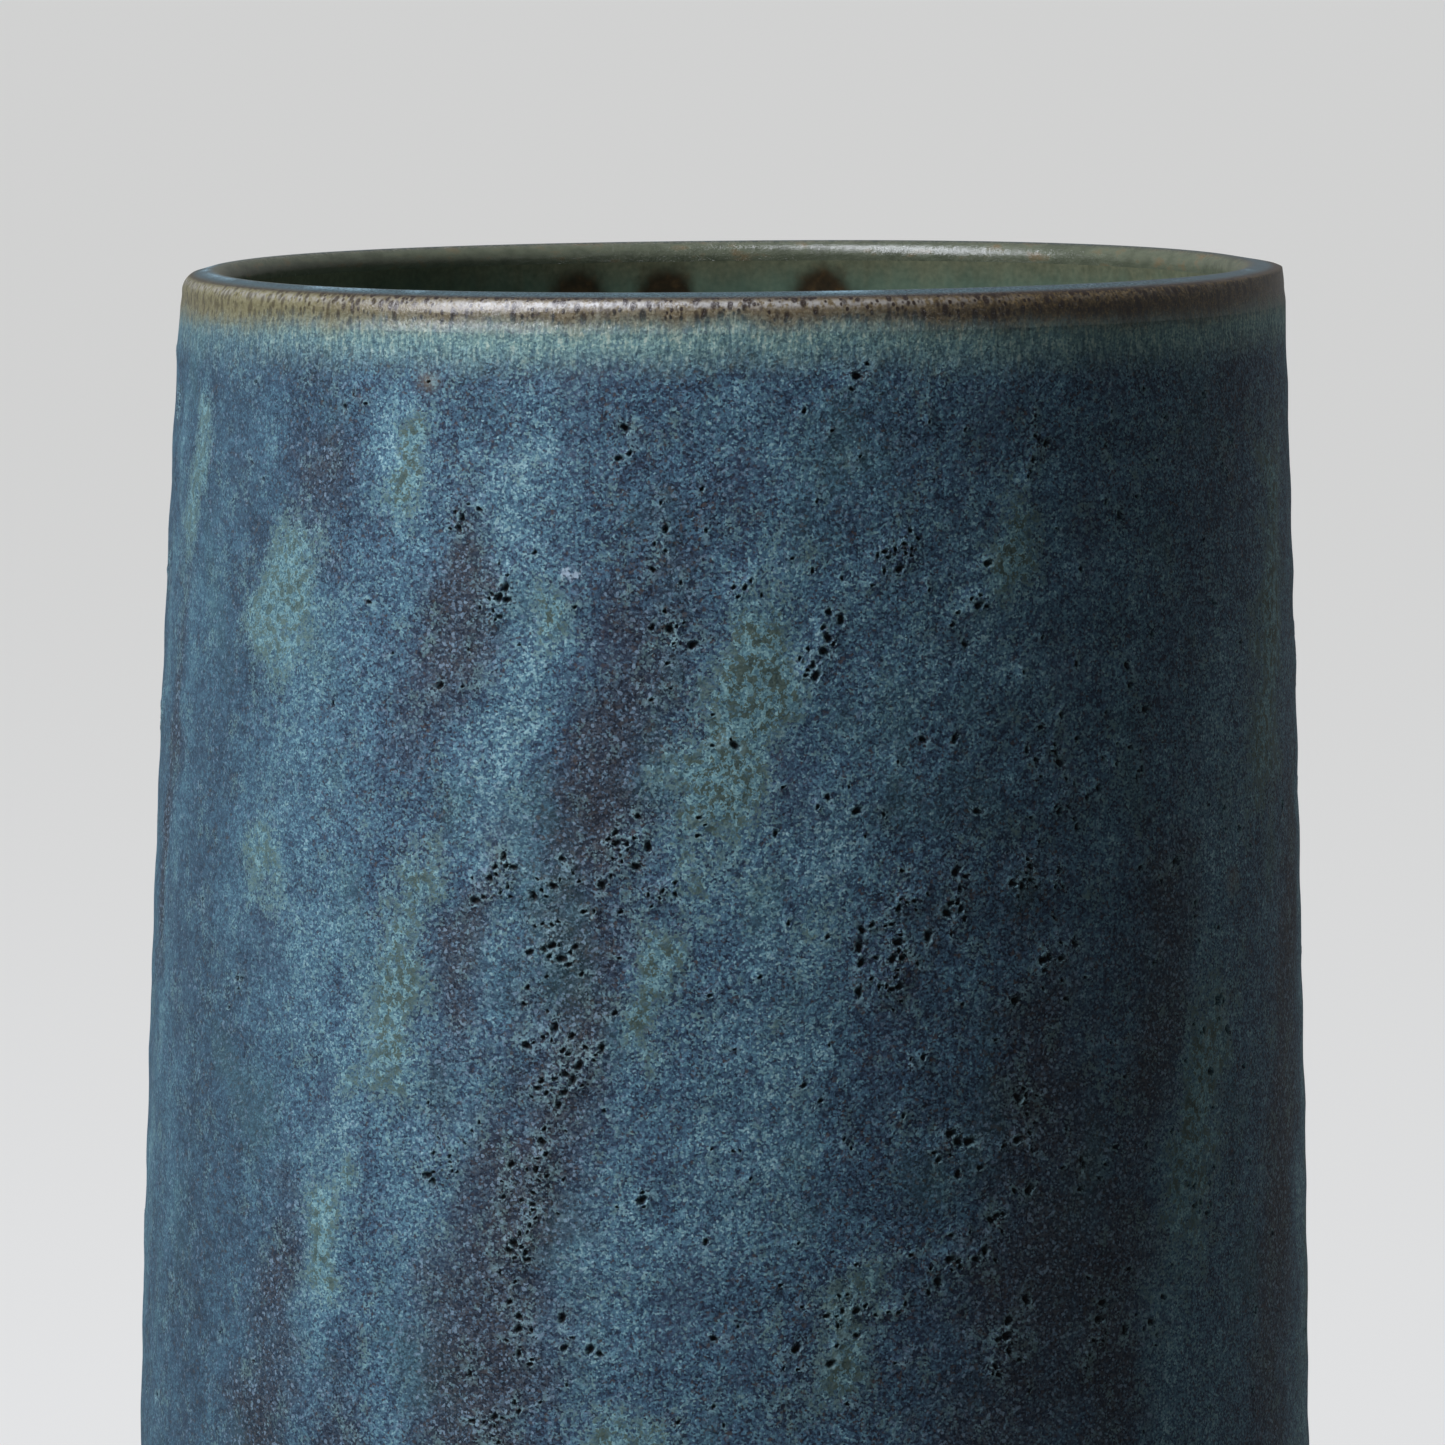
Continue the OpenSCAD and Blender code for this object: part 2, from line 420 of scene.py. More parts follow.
# %% [markdown]
# ## What the kiln did to the glaze
# The blue coat isn't even. It ran as it melted, so the outside carries long streaks that lean to
# the left as they come down: pale turquoise runs with olive hearts, and plum-brown bands where
# the glaze stayed thin and rough. They are worked out here as soft fields over the wall. The
# marks on the front follow the picture, and the rest of the pot gets marks of the same kind.

# %% Chance fields over the wall
LEAN = 0.2
STREAKS = ((0.4, 22, 110), (0.4, 10, 60), (0.3, 4.2, 30))
STROKE_NARROW, STROKE_WIDENS = 0.75, 0.4
STROKE_STARTS = (-0.15, 0.3)
STROKE_ENDS = (0.6, 1.25)
STROKE_SOFT = 1.9


def patchy(angle, z, wide, tall, seed):
    """Smooth random values from -1 to 1: a lattice that closes round the pot, eased between."""
    columns = max(3, round(TURN * MEAN_R / wide))
    rows = int(HEIGHT / tall) + 4
    lattice = np.random.default_rng(seed).uniform(-1, 1, (rows, columns))
    u = (angle / TURN) % 1 * columns
    v = z / tall + 1
    j, i = np.floor(u).astype(int), np.floor(v).astype(int)
    right, up = ease(u - j), ease(v - i)
    j0, j1 = j % columns, (j + 1) % columns
    low = lattice[i, j0] * (1 - right) + lattice[i, j1] * right
    high = lattice[i + 1, j0] * (1 - right) + lattice[i + 1, j1] * right
    return low * (1 - up) + high * up


def streaky(angle, z, seed):
    """Streaks of three widths, each much taller than wide, that lean with the runs."""
    at_lip = angle + LEAN * (HEIGHT - z) / MEAN_R
    return sum(share * patchy(at_lip, z, wide, tall, seed + number)
               for number, (share, wide, tall) in enumerate(STREAKS))


def strokes(angle, z, marks):
    """Strength 0 to 1 of hanging marks, each (angle, drop below the lip, length, width)."""
    total = np.zeros(np.broadcast(angle, z).shape)
    for at, drop, length, width in marks:
        fall = HEIGHT - drop - z
        s = fall / length
        side = np.abs(turned_from(angle + LEAN * fall / MEAN_R, at)) * MEAN_R
        half = width / 2 * (STROKE_NARROW + STROKE_WIDENS * np.clip(s, 0, 1))
        along = ease(s, *STROKE_STARTS) * (1 - ease(s, *STROKE_ENDS))
        total = np.maximum(total, along * (1 - ease(side / half, 0.0, STROKE_SOFT)))
    return total


print("Streaks lean", LEAN, "mm to the left for each mm down")

# %% Marks that hang on the wall
PALE_RUNS = [
    (-67, 10, 18, 5), (-47, 19, 17, 8), (-32, 9, 11, 5), (-16, 25, 7, 4), (4, 23, 30, 7),
    (29, 15, 12, 4), (72, 14, 36, 7), (104, 22, 30, 8), (135, 9, 40, 6), (168, 26, 34, 8),
    (200, 14, 28, 7), (232, 20, 40, 8), (262, 12, 26, 6),
    (-49, 46, 10, 5), (-30, 47, 26, 6), (-5, 54, 14, 5), (55, 62, 30, 7), (88, 70, 34, 6),
    (120, 60, 28, 7), (152, 74, 36, 8), (184, 68, 30, 6), (216, 72, 26, 7), (250, 56, 32, 8),
    (-39, 79, 12, 5), (12, 86, 12, 6), (-8, 97, 28, 8), (34, 108, 30, 7), (70, 112, 26, 7),
    (140, 118, 28, 7), (206, 110, 30, 7), (268, 100, 32, 8),
]
# Pale trails of the glaze; the one at 28 degrees, 14 mm down, is a painted glint: a lighter patch for light
# sparkling on the rough skin there.
PALE_TRAILS_AND_GLINT = [
    (-62, 10, 90, 6), (-43, 20, 56, 15), (-20, 12, 14, 8), (-17, 22, 30, 7), (5, 22, 36, 9),
    (-5, 50, 50, 10), (6, 60, 28, 11), (-36, 60, 44, 8), (28, 14, 26, 14), (60, 20, 90, 10),
    (-52, 6, 16, 6), (-58, 16, 34, 5), (-72, 8, 30, 3), (-34, 8, 12, 8), (1, 6, 10, 7),
    (4, 20, 14, 9), (10, 40, 26, 7), (-64, 60, 60, 4),
    (96, 16, 110, 12), (130, 30, 90, 10), (164, 22, 120, 12), (198, 14, 90, 10), (228, 18, 110, 12),
    (256, 14, 100, 11),
]
PLUM_BANDS = [
    (-26, 19, 24, 7), (-6, 22, 120, 12), (-42, 10, 14, 6), (-66, 14, 60, 3), (36, 56, 70, 16),
    (-22, 44, 30, 5), (-17, 58, 60, 9), (-44, 78, 46, 9),
    (50, 44, 90, 12), (78, 44, 70, 10), (112, 34, 80, 11), (148, 24, 60, 9), (184, 44, 90, 11),
    (214, 26, 70, 9), (246, 46, 80, 10), (-36, 92, 60, 9), (6, 124, 50, 10), (98, 116, 60, 10),
]
WHITE_SPECKS = [(-15.4, 180.4, 0.9), (-14, 180.9, 0.7)]
RUSTY_HALOS = [(-31, 197, 0.8), (58, 150, 0.9), (152, 176, 0.8), (-118, 162, 0.8)]
print(len(PALE_RUNS), "pale runs,", len(PALE_TRAILS_AND_GLINT), "light trails,", len(PLUM_BANDS), "plum bands")

# %% Fields over the wall
DARKER_RIGHT_FROM = (0, 36)
DARKER_RIGHT_TO = (130, 176)
SHEEN_MIDDLE, SHEEN_SPREAD = -75, 34
LEFT_END, LEFT_SPREAD = -78, 32


def dots(angle, z, marks):
    """Strength 0 to 1 of round marks, each (angle, height, radius), fading outward."""
    total = np.zeros(np.broadcast(angle, z).shape)
    for at, up, radius in marks:
        side = turned_from(angle, at) * MEAN_R
        total = np.maximum(total, bell(side, 0, radius) * bell(z, up, radius))
    return total


def darker_right_side(angle):
    """1 on the right of the pot and 0 on the left: there the lip is darker and more golden, and its brown
    band comes lower.
    """
    return ease(np.degrees(angle), *DARKER_RIGHT_FROM) * (1 - ease(np.degrees(angle), *DARKER_RIGHT_TO))


def soft_left_sheen_side(angle):
    """1 on the left of the pot, fading to 0 at the front: a painted sheen makes this lit side lighter,
    greyer and lower in contrast.
    """
    return bell(np.degrees(angle), SHEEN_MIDDLE, SHEEN_SPREAD)


def lip_drop(angle, z):
    """Depth below the lip in mm, less where the brown band comes lower, so one value fits all."""
    left_end = bell(np.degrees(angle), LEFT_END, LEFT_SPREAD)
    lower = 1.0 * left_end + 0.5 * darker_right_side(angle) + 0.35 * patchy(angle, z, 5, 40, seed=61)
    return HEIGHT - z - lower


def glaze_fields(angle, z):
    """The coat's soft masks, after a small stray of both coordinates."""
    stray = 1.8 * patchy(angle, z, 7, 7, seed=31) + 0.9 * patchy(angle, z, 2.8, 2.8, seed=33)
    stray_a = angle + stray / MEAN_R
    stray_z = z + 2.5 * patchy(angle, z, 5, 5, seed=37)
    run = strokes(stray_a, stray_z, PALE_RUNS) * (0.85 + 0.45 * patchy(angle, z, 4, 6, seed=41))
    plum = strokes(stray_a, stray_z, PLUM_BANDS) * (0.85 + 0.35 * patchy(angle, z, 6, 9, seed=43))
    plum = plum * (1 - 0.7 * run)
    trail = strokes(stray_a, stray_z, PALE_TRAILS_AND_GLINT)
    tone = 0.55 * streaky(angle, z, 51) + 0.5 * trail - 0.5 * plum + 0.15 * run
    return {
        "run": run,
        "plum": plum,
        "tone": tone,
        "drop": lip_drop(angle, z),
        "darker_right": np.broadcast_to(darker_right_side(angle), run.shape),
        "soft_left_sheen": np.broadcast_to(soft_left_sheen_side(angle), run.shape),
        "speck": dots(angle, z, WHITE_SPECKS),
        "halo": dots(angle, z, RUSTY_HALOS),
    }


sample = glaze_fields(around, np.full(COLUMNS, 150.0))
print("Tone at 150 mm runs from", sample["tone"].min().round(2), "to", sample["tone"].max().round(2))

# %% [markdown]
# ## Pinholes
# Gas bubbles burst through the melting glaze and left craters, mostly in clusters. They are real
# holes in the coat, so they are made in the mesh and not only in the shading. Each cluster is a
# place, a count and a spread; the holes in it are drawn from a seeded generator and kept apart.

# %% Where the pinholes are
PIT_CLUSTERS = [
    (-27, 185, 12, 1.2), (-23, 178, 16, 1.8), (-10, 192, 5, 1.0), (-6, 184, 7, 1.2),
    (-5, 175, 10, 1.6), (1, 179, 4, 1.0), (15, 182, 9, 1.4), (18, 183, 5, 1.0),
    (24, 178, 10, 1.6), (8.5, 174, 20, 1.6), (10, 161, 3, 1.2), (-23, 153, 9, 1.5),
    (-21, 153, 2, 0.8), (-17, 153, 12, 1.8), (-10, 155, 12, 1.7), (-15, 147, 24, 3.4),
    (-14, 139, 16, 3.0), (-6, 152, 6, 1.3), (15, 149, 20, 2.0), (15, 145, 14, 2.0),
    (22, 151, 10, 1.6), (29, 153, 10, 2.0), (32, 147, 10, 2.4), (35, 159, 10, 2.2),
    (33, 165, 8, 2.0), (42, 164, 9, 2.4), (29, 132, 10, 2.0), (21, 129, 9, 2.0),
    (-27, 128, 12, 1.6), (-20, 119, 10, 1.5), (-21, 105, 12, 1.8), (10, 114, 16, 2.6),
    (25, 121, 12, 2.0), (19, 118, 10, 1.8), (38, 113, 12, 2.4), (36, 128, 8, 2.0),
    (26, 111, 9, 2.0), (-12, 112, 7, 1.6), (-8, 126, 5, 1.4), (0, 167, 5, 1.5),
    (31, 191, 6, 1.6), (-40, 195, 4, 1.0), (13, 198, 3, 1.0), (-31, 197, 1, 0.1),
    (-16, 135, 14, 2.4), (-17.5, 129, 14, 2.2), (-19, 123, 12, 2.0), (-20, 112, 14, 2.2),
]
OTHER_CLUSTERS = 64
LONE_PITS = 260
FRONT_PITS = 130
CLUSTER_Z = (16, 199)
CLUSTER_COUNT = (4, 15)
CLUSTER_SPREAD = (1.0, 2.4)
CLUSTER_SLIM = 0.55
CLUSTER_SLOPE = (0.6, 0.8)
LISTED_TURN = math.radians(50)
LISTED_Z = 98
LONE_Z = (14, 199)
FRONT_TURN = (math.radians(-4), math.radians(62))
FRONT_Z = (100, 196)
SMALLEST_PIT = 0.15
LARGEST_PIT = 0.42
CLUSTER_PIT = 0.1
LONE_PIT = 0.06
PIT_KEEP_OFF = 1.05
LINE_CLEAR, BAND_CLEAR, SEAM_CLEAR = 4, 1.5, 2
half_way = math.pi * MEAN_R
draw = np.random.default_rng(2024)


def lone_pits(turns, heights, count):
    """Single holes strewn evenly between two angles and two heights."""
    u = draw.uniform(turns[0] * MEAN_R, turns[1] * MEAN_R, count)
    z = draw.uniform(*heights, count)
    return np.stack([u, z, SMALLEST_PIT + draw.exponential(LONE_PIT, count)], 1)


def scatter_pits():
    """Unrolled place, radius and turn of the holes: each cluster leans like a stroke of /."""
    clusters = [(math.radians(at) * MEAN_R, z, n, spread) for at, z, n, spread in PIT_CLUSTERS]
    while len(clusters) < len(PIT_CLUSTERS) + OTHER_CLUSTERS:
        u, z = draw.uniform(-half_way, half_way), draw.uniform(*CLUSTER_Z)
        if abs(u) > LISTED_TURN * MEAN_R or z < LISTED_Z:
            count = int(draw.integers(*CLUSTER_COUNT))
            clusters.append((u, z, count, draw.uniform(*CLUSTER_SPREAD)))
    sheets = []
    for u, z, count, spread in clusters:
        along = draw.normal(0, spread, count)
        across = draw.normal(0, spread * CLUSTER_SLIM, count)
        size = SMALLEST_PIT + draw.exponential(CLUSTER_PIT, count)
        right, up = CLUSTER_SLOPE
        sheets.append(np.stack([u + right * along + up * across, z + up * along - right * across, size], 1))
    sheets.append(lone_pits((-math.pi, math.pi), LONE_Z, LONE_PITS))
    sheets.append(lone_pits(FRONT_TURN, FRONT_Z, FRONT_PITS))
    holes = np.concatenate(sheets)
    return np.column_stack([holes, draw.uniform(0, TURN, len(holes))])


def keep_apart(holes):
    """Drop holes near the coat's edges or the seam, and the smaller of two that crowd."""
    inside = (holes[:, 1] > GLAZE_LINE_Z + LINE_CLEAR) & (holes[:, 1] < BAND_OUT_Z - BAND_CLEAR)
    holes = holes[inside & (np.abs(holes[:, 0]) < half_way - SEAM_CLEAR)]
    holes[:, 2] = np.clip(holes[:, 2], SMALLEST_PIT, LARGEST_PIT)
    kept = np.zeros((0, 4))
    for hole in holes[np.argsort(-holes[:, 2])]:
        apart = np.hypot(kept[:, 0] - hole[0], kept[:, 1] - hole[1])
        if (apart > PIT_KEEP_OFF * (kept[:, 2] + hole[2])).all():
            kept = np.vstack([kept, hole])
    return kept[np.argsort(kept[:, 1])]


pits = keep_apart(scatter_pits())
print(len(pits), "pinholes, from", 2 * pits[:, 2].min(), "to", 2 * pits[:, 2].max(), "mm wide")

# %% The shape of a pinhole
PIT_BANDS = 60
PIT_REACH = 4.0
PIT_OVAL = 0.22
PIT_CORNERS = 0.12
PIT_DEEPEST = 0.45
PIT_STEEP = 1.1
HOLE_FADE = (0.65, 1.1)
EDGE_AT, EDGE_WIDTH = 1.3, 0.35
CROWD_REACH = 1.4
CROWD_ROUGH = (0.8, 4.0)
EDGE_RISE = 0.08


def near_pits(u, z):
    """For bands of holes: the wall points near them, their distances and the holes' radii.

    A hole is never quite round, so distance is counted slower along its longer side.
    """
    for band in np.array_split(pits, PIT_BANDS):
        points = np.flatnonzero((z > band[0, 1] - PIT_REACH) & (z < band[-1, 1] + PIT_REACH))
        across = u[points, None] - band[None, :, 0]
        up = z[points, None] - band[None, :, 1]
        bearing = np.arctan2(up, across) - band[None, :, 3]
        uneven = 1 + PIT_OVAL * np.cos(2 * bearing) + PIT_CORNERS * np.cos(3 * bearing)
        yield points, np.hypot(across, up) / uneven, band[None, :, 2]


def pit_fields(u, z):
    """Crater depth in mm, and masks of the hole (painted dark as shade), of its pale raised edge and of
    crowding.
    """
    depth, hole, edge, crowd = (np.zeros_like(u) for _ in range(4))
    for points, far, size in near_pits(u, z):
        reach = far / size
        bowl = np.sqrt(np.clip(1 - reach**2, 0, 1)) * np.minimum(PIT_DEEPEST, PIT_STEEP * size)
        ring = bell(reach, EDGE_AT, EDGE_WIDTH)
        depth[points] = np.maximum(depth[points], bowl.max(axis=1))
        hole[points] = np.maximum(hole[points], (1 - ease(reach, *HOLE_FADE)).max(axis=1))
        edge[points] = np.maximum(edge[points], ring.max(axis=1))
        crowd[points] += bell(far, 0, CROWD_REACH).sum(axis=1)
    return depth, {"pit_shade": hole, "edge": edge * (1 - hole), "rough": ease(crowd, *CROWD_ROUGH)}


print("The deepest pinhole may be", PIT_DEEPEST, "mm deep in a coat of", OUTER_COAT, "mm")

# %% [markdown]
# ## The blue coat
# The coat is a thin shell. Its outer skin needs fine points only around the pinholes, so the
# points are laid out on the unrolled wall: an even triangular scatter, plus rings at each hole.
# A Delaunay triangulation joins them up, and the two ends of the unrolled sheet are sewn together
# at the back of the pot. The inner skin against the clay is a plain grid.

# %% Lay out the points of the outer skin
SPACING = TURN * MEAN_R / COLUMNS
PIT_RINGS = ((0, 1), (0.5, 5), (0.95, 9), (1.3, 9), (1.8, 8))
PIT_CLEAR = 1.95
PIT_MARGIN = 0.15
SAME_POINT = 1e-7


def spread_points():
    """Unrolled points (u, z): both edges, the seam, staggered rows, rings at holes, seam copy."""
    rows = round((BAND_OUT_Z - GLAZE_LINE_Z) / (SPACING * math.sqrt(3) / 2))
    zs = np.linspace(GLAZE_LINE_Z, BAND_OUT_Z, rows + 1)
    us = around * MEAN_R
    inner = zs[1:-1]
    seam = line(us[0], inner)
    stagger = SPACING / 2 * (np.arange(len(inner)) % 2) - SPACING / 4
    field = line(us[None, 1:] + stagger[:, None], inner[:, None]).reshape(-1, 2)
    crowded = np.zeros(len(field), bool)
    for points, far, size in near_pits(field[:, 0], field[:, 1]):
        crowded[points] |= (far < PIT_CLEAR * size + PIT_MARGIN).any(axis=1)
    rings = []
    for reach, count in PIT_RINGS:
        turn = TURN * (np.arange(count) + reach) / count
        ring_u = pits[:, :1] + reach * pits[:, 2:3] * np.cos(turn)
        ring_z = pits[:, 1:2] + reach * pits[:, 2:3] * np.sin(turn)
        rings.append(line(ring_u, ring_z).reshape(-1, 2))
    own = np.concatenate([line(us, zs[0]), line(us, zs[-1]), seam, field[~crowded]] + rings)
    copies = np.concatenate([[0, COLUMNS], 2 * COLUMNS + np.arange(len(seam))])
    return own, copies


flat_points, seam_copies = spread_points()
right_edge = flat_points[seam_copies] + [2 * half_way, 0]
flat = [Vector(p) for p in np.concatenate([flat_points, right_edge]).tolist()]
triangles = np.array(delaunay_2d_cdt(flat, [], [], 0, SAME_POINT)[2])
sewn = np.concatenate([np.arange(len(flat_points)), seam_copies])
skin_faces = sewn[triangles]
print("Outer skin:", len(flat_points), "points and", len(skin_faces), "triangles")


# %% Give the skin its relief
RUN_SWELL = 0.1
TONE_SWELL = 0.05
PEEL = 0.04
FINE_PEEL = 0.035
ROLL, ROLL_UP, ROLL_WIDTH = 0.12, 1.6, 1.2
THIN_EDGE = 0.35
JOIN_FADES = 2
WAVE_FADES = 14


def relief(angle, z, fields):
    """Millimetres the coat stands proud: swollen runs, orange peel and a rolled lower edge."""
    swell = RUN_SWELL * fields["run"] + TONE_SWELL * np.clip(fields["tone"], -1, 1)
    peel = PEEL * patchy(angle, z, 3.2, 3.2, seed=71) + FINE_PEEL * patchy(angle, z, 1.9, 1.9, seed=73)
    roll = ROLL * bell(z, GLAZE_LINE_Z + ROLL_UP, ROLL_WIDTH)
    thin_edge = THIN_EDGE * (ease(z, GLAZE_LINE_Z, GLAZE_LINE_Z + ROLL_WIDTH) - 1)
    return (swell + peel) * ease(BAND_OUT_Z - z, 0, JOIN_FADES) + roll + thin_edge


def line_wave(angle, z):
    """Millimetres that the coat's lower edge rises and falls, fading out up the wall."""
    wave = 0.5 + 0.35 * np.cos(3 * angle + 0.6) + 0.3 * np.cos(7 * angle + 2)
    return wave * (1 - ease(z, GLAZE_LINE_Z, GLAZE_LINE_Z + WAVE_FADES))


skin_angle, skin_z = flat_points[:, 0] / MEAN_R, flat_points[:, 1]
skin = glaze_fields(skin_angle, skin_z)
pit_depth, pit_marks = pit_fields(flat_points[:, 0], skin_z)
skin.update(pit_marks)
proud = relief(skin_angle, skin_z, skin) - pit_depth + EDGE_RISE * skin["edge"]
skin_radius = outside_radius(skin_z) + hand_wobble(skin_angle, skin_z) + proud
skin_points = place(skin_angle, skin_radius, skin_z + line_wave(skin_angle, skin_z))
print("Deepest pinhole:", pit_depth.max().round(2), "mm")

# %% Close the shell
BACK_ROWS = 24
back_z = np.linspace(BAND_OUT_Z, GLAZE_LINE_Z, BACK_ROWS)[:, None]
back_radius = outside_radius(back_z) + hand_wobble(around[None, :], back_z) - OUTER_COAT
back_points = place(around[None, :], back_radius, back_z + line_wave(around[None, :], back_z))
back_rings = len(skin_points) + np.arange(back_points[..., 0].size).reshape(-1, COLUMNS)
low_ring, high_ring = np.arange(COLUMNS), COLUMNS + np.arange(COLUMNS)


def bridge(ring_a, ring_b):
    """Quads between two rings of point numbers."""
    return np.stack([ring_a, np.roll(ring_a, -1), np.roll(ring_b, -1), ring_b], axis=-1).tolist()


coat_faces = skin_faces.tolist() + bridge(high_ring, back_rings[0]) + bridge(back_rings[-1], low_ring)
coat_faces += (ring_faces(BACK_ROWS, COLUMNS, False) + len(skin_points)).tolist()
bare_back = np.zeros(back_rings.size)
outer_coat = make_piece(
    "outer_coat", np.concatenate([skin_points, back_points.reshape(-1, 3)]), coat_faces,
    sharp_rings=(low_ring, high_ring, back_rings[0], back_rings[-1]),
    marks={name: np.concatenate([values, bare_back]) for name, values in skin.items()})

# %% [markdown]
# ## The lip
# Glaze runs off a sharp edge in the kiln, so the lip is only thinly coated and its clay burns
# through brown. The outline has a round shoulder outside, a soft edge, a top that slopes outward
# and a round inside. It is carried around the axis as a closed ring. The potter's finger left
# the outer edge squarer on the right, so the shoulder is pushed out to a corner there. Marks tell
# the finish which points lie on the lip's top, edge and inner face, and where highlights are
# painted: pale flecks on the shoulder and a bright line along the top's inner edge.

# %% The lip's outline
SHOULDER_R = 1.8
SHOULDER_TURN = math.radians(60)
CORNER_RISE = 1.9
INNER_R = 1.5
TOP_SLOPE = math.radians(16)
ARC_STEPS = 9
in_x, in_z = float(inside_radius(HEIGHT)) + INNER_R, HEIGHT - INNER_R
out_x = float(outside_radius(HEIGHT)) - SHOULDER_R
top_x, top_z = in_x + INNER_R * math.sin(TOP_SLOPE), in_z + INNER_R * math.cos(TOP_SLOPE)
edge_x = out_x + SHOULDER_R * math.cos(SHOULDER_TURN)
edge_z = top_z - (edge_x - top_x) * math.tan(TOP_SLOPE)
out_z = edge_z - SHOULDER_R * math.sin(SHOULDER_TURN)


def lip_outline(shrink, shift_out, shift_in, steps):
    """Shoulder arc, sloping top and inner arc. Both arcs shrink and shift for the clay's side."""
    shoulder = np.linspace(0, SHOULDER_TURN, steps)
    inner = np.linspace(math.pi / 2 - TOP_SLOPE, math.pi, steps)
    out_r, in_r = SHOULDER_R - shrink, INNER_R - shrink
    out_arc = line(out_x + shift_out + out_r * np.cos(shoulder), out_z + out_r * np.sin(shoulder))
    in_arc = line(in_x + shift_in + in_r * np.cos(inner), in_z + in_r * np.sin(inner))
    top = np.linspace(out_arc[-1], in_arc[0], 5)[1:-1]
    return np.concatenate([out_arc, top, in_arc])


clay_lip = lip_outline(LIP_COAT, LIP_COAT - OUTER_COAT, LINER_COAT - LIP_COAT, 5)
print("Edge of the lip:", round(edge_x, 2), "mm out,", round(edge_z, 2), "mm up")

# %% The lip's ring
SQUARE_SHARE = 0.75
SQUARE_MIDDLE, SQUARE_SPREAD = 84, 26
rise_z = np.linspace(BAND_OUT_Z, out_z, 6)[:-1]
blend_in = ease(rise_z, BAND_OUT_Z, out_z)
rise_r = outside_radius(rise_z) * (1 - blend_in) + (out_x + SHOULDER_R) * blend_in
lip_face = np.concatenate([line(rise_r, rise_z), lip_outline(0, 0, 0, ARC_STEPS),
                           line(inside_radius(BAND_IN_Z), [BAND_IN_Z])])
lip_section = np.concatenate([
    lip_face,
    line(inside_radius(BAND_IN_Z) + LINER_COAT, [BAND_IN_Z]),
    clay_lip[::-1],
    line(outside_radius(BAND_OUT_Z) - OUTER_COAT, [BAND_OUT_Z]),
])
lip_z = np.broadcast_to(lip_section[:, 1:], (len(lip_section), COLUMNS))
lip_marks = glaze_fields(np.broadcast_to(around, lip_z.shape), lip_z)
edge_row = len(rise_z) + ARC_STEPS - 1
square = SQUARE_SHARE * bell(np.degrees(around), SQUARE_MIDDLE, SQUARE_SPREAD)
bend = np.linspace(0, SHOULDER_TURN, ARC_STEPS)[:, None]
to_corner = np.minimum(1 / np.cos(bend), CORNER_RISE / (SHOULDER_R * np.sin(bend + 1e-9))) - 1
push = line(np.cos(bend), np.sin(bend)) * (SHOULDER_R * to_corner * square)[..., None]
lip_wall = np.repeat(lip_section[:, None, :], COLUMNS, axis=1)
lip_wall[len(rise_z):edge_row + 1] += push
for step, share in ((1, 0.75), (2, 0.5), (3, 0.25)):
    lip_wall[edge_row + step] += share * push[-1]
print("The lip's outline has", len(lip_section), "rows, with its edge at row", edge_row)

# %% Marks on the lip
rows_past_edge = np.broadcast_to(np.arange(len(lip_section))[:, None] - edge_row, lip_z.shape)
lip_marks["crown"] = ease(rows_past_edge, -0.5, 1.5) * (1 - ease(rows_past_edge, 4, 8))
lip_marks["inner"] = ease(rows_past_edge, 5, 8)
# Painted highlight: pale flecks on the shoulder, kept off the darker right.
lip_marks["shoulder"] = bell(rows_past_edge, -3.2, 1.6) * (1 - 0.9 * lip_marks["darker_right"])
lip_marks["arris"] = bell(rows_past_edge, 0, 1.1)
rim_z = np.full(COLUMNS, HEIGHT)
# Painted highlight: a broken bright line along the inner edge of the lip's top.
painted_gleam_patches = 0.6 * patchy(around, rim_z, 11, 40, seed=81) + 0.5 * patchy(around, rim_z, 2.7, 40, seed=83)
lip_marks["painted_gleam"] = 0.9 * ease(painted_gleam_patches, 0.0, 0.6) * bell(rows_past_edge, 4, 1.0)
lip_coat = turned_ring("lip_coat", lip_wall,
                       (0, len(lip_face) - 1, len(lip_face), len(lip_section) - 1), lip_marks)

# %% [markdown]
# ## The green liner and its iron spots
# Inside, a glossy green glaze makes the clay watertight. It is a thin cup. Three specks of iron
# bled into it just under the far lip and left brown spots about 7 mm across. Each spot is a
# very flat lens that lies in the liner, with a slightly uneven edge.

# %% The liner's cup
SPOT_ANGLES = (169, 188, 199)
SPOT_Z = HEIGHT - 6.0
SPOT_R = 3.5
HEEL_POOL, POOL_FADES = 1.6, 2.5


def iron_stain(angle, z):
    """How strongly iron has stained the green round the spots, from 0 to 1."""
    stain = np.zeros(np.broadcast(angle, z).shape)
    for at in SPOT_ANGLES:
        side = turned_from(angle, at) * RIM_R
        stain = np.maximum(stain, 1 - ease(np.hypot(side, z - SPOT_Z) / SPOT_R, 0.35, 1.45))
    return stain


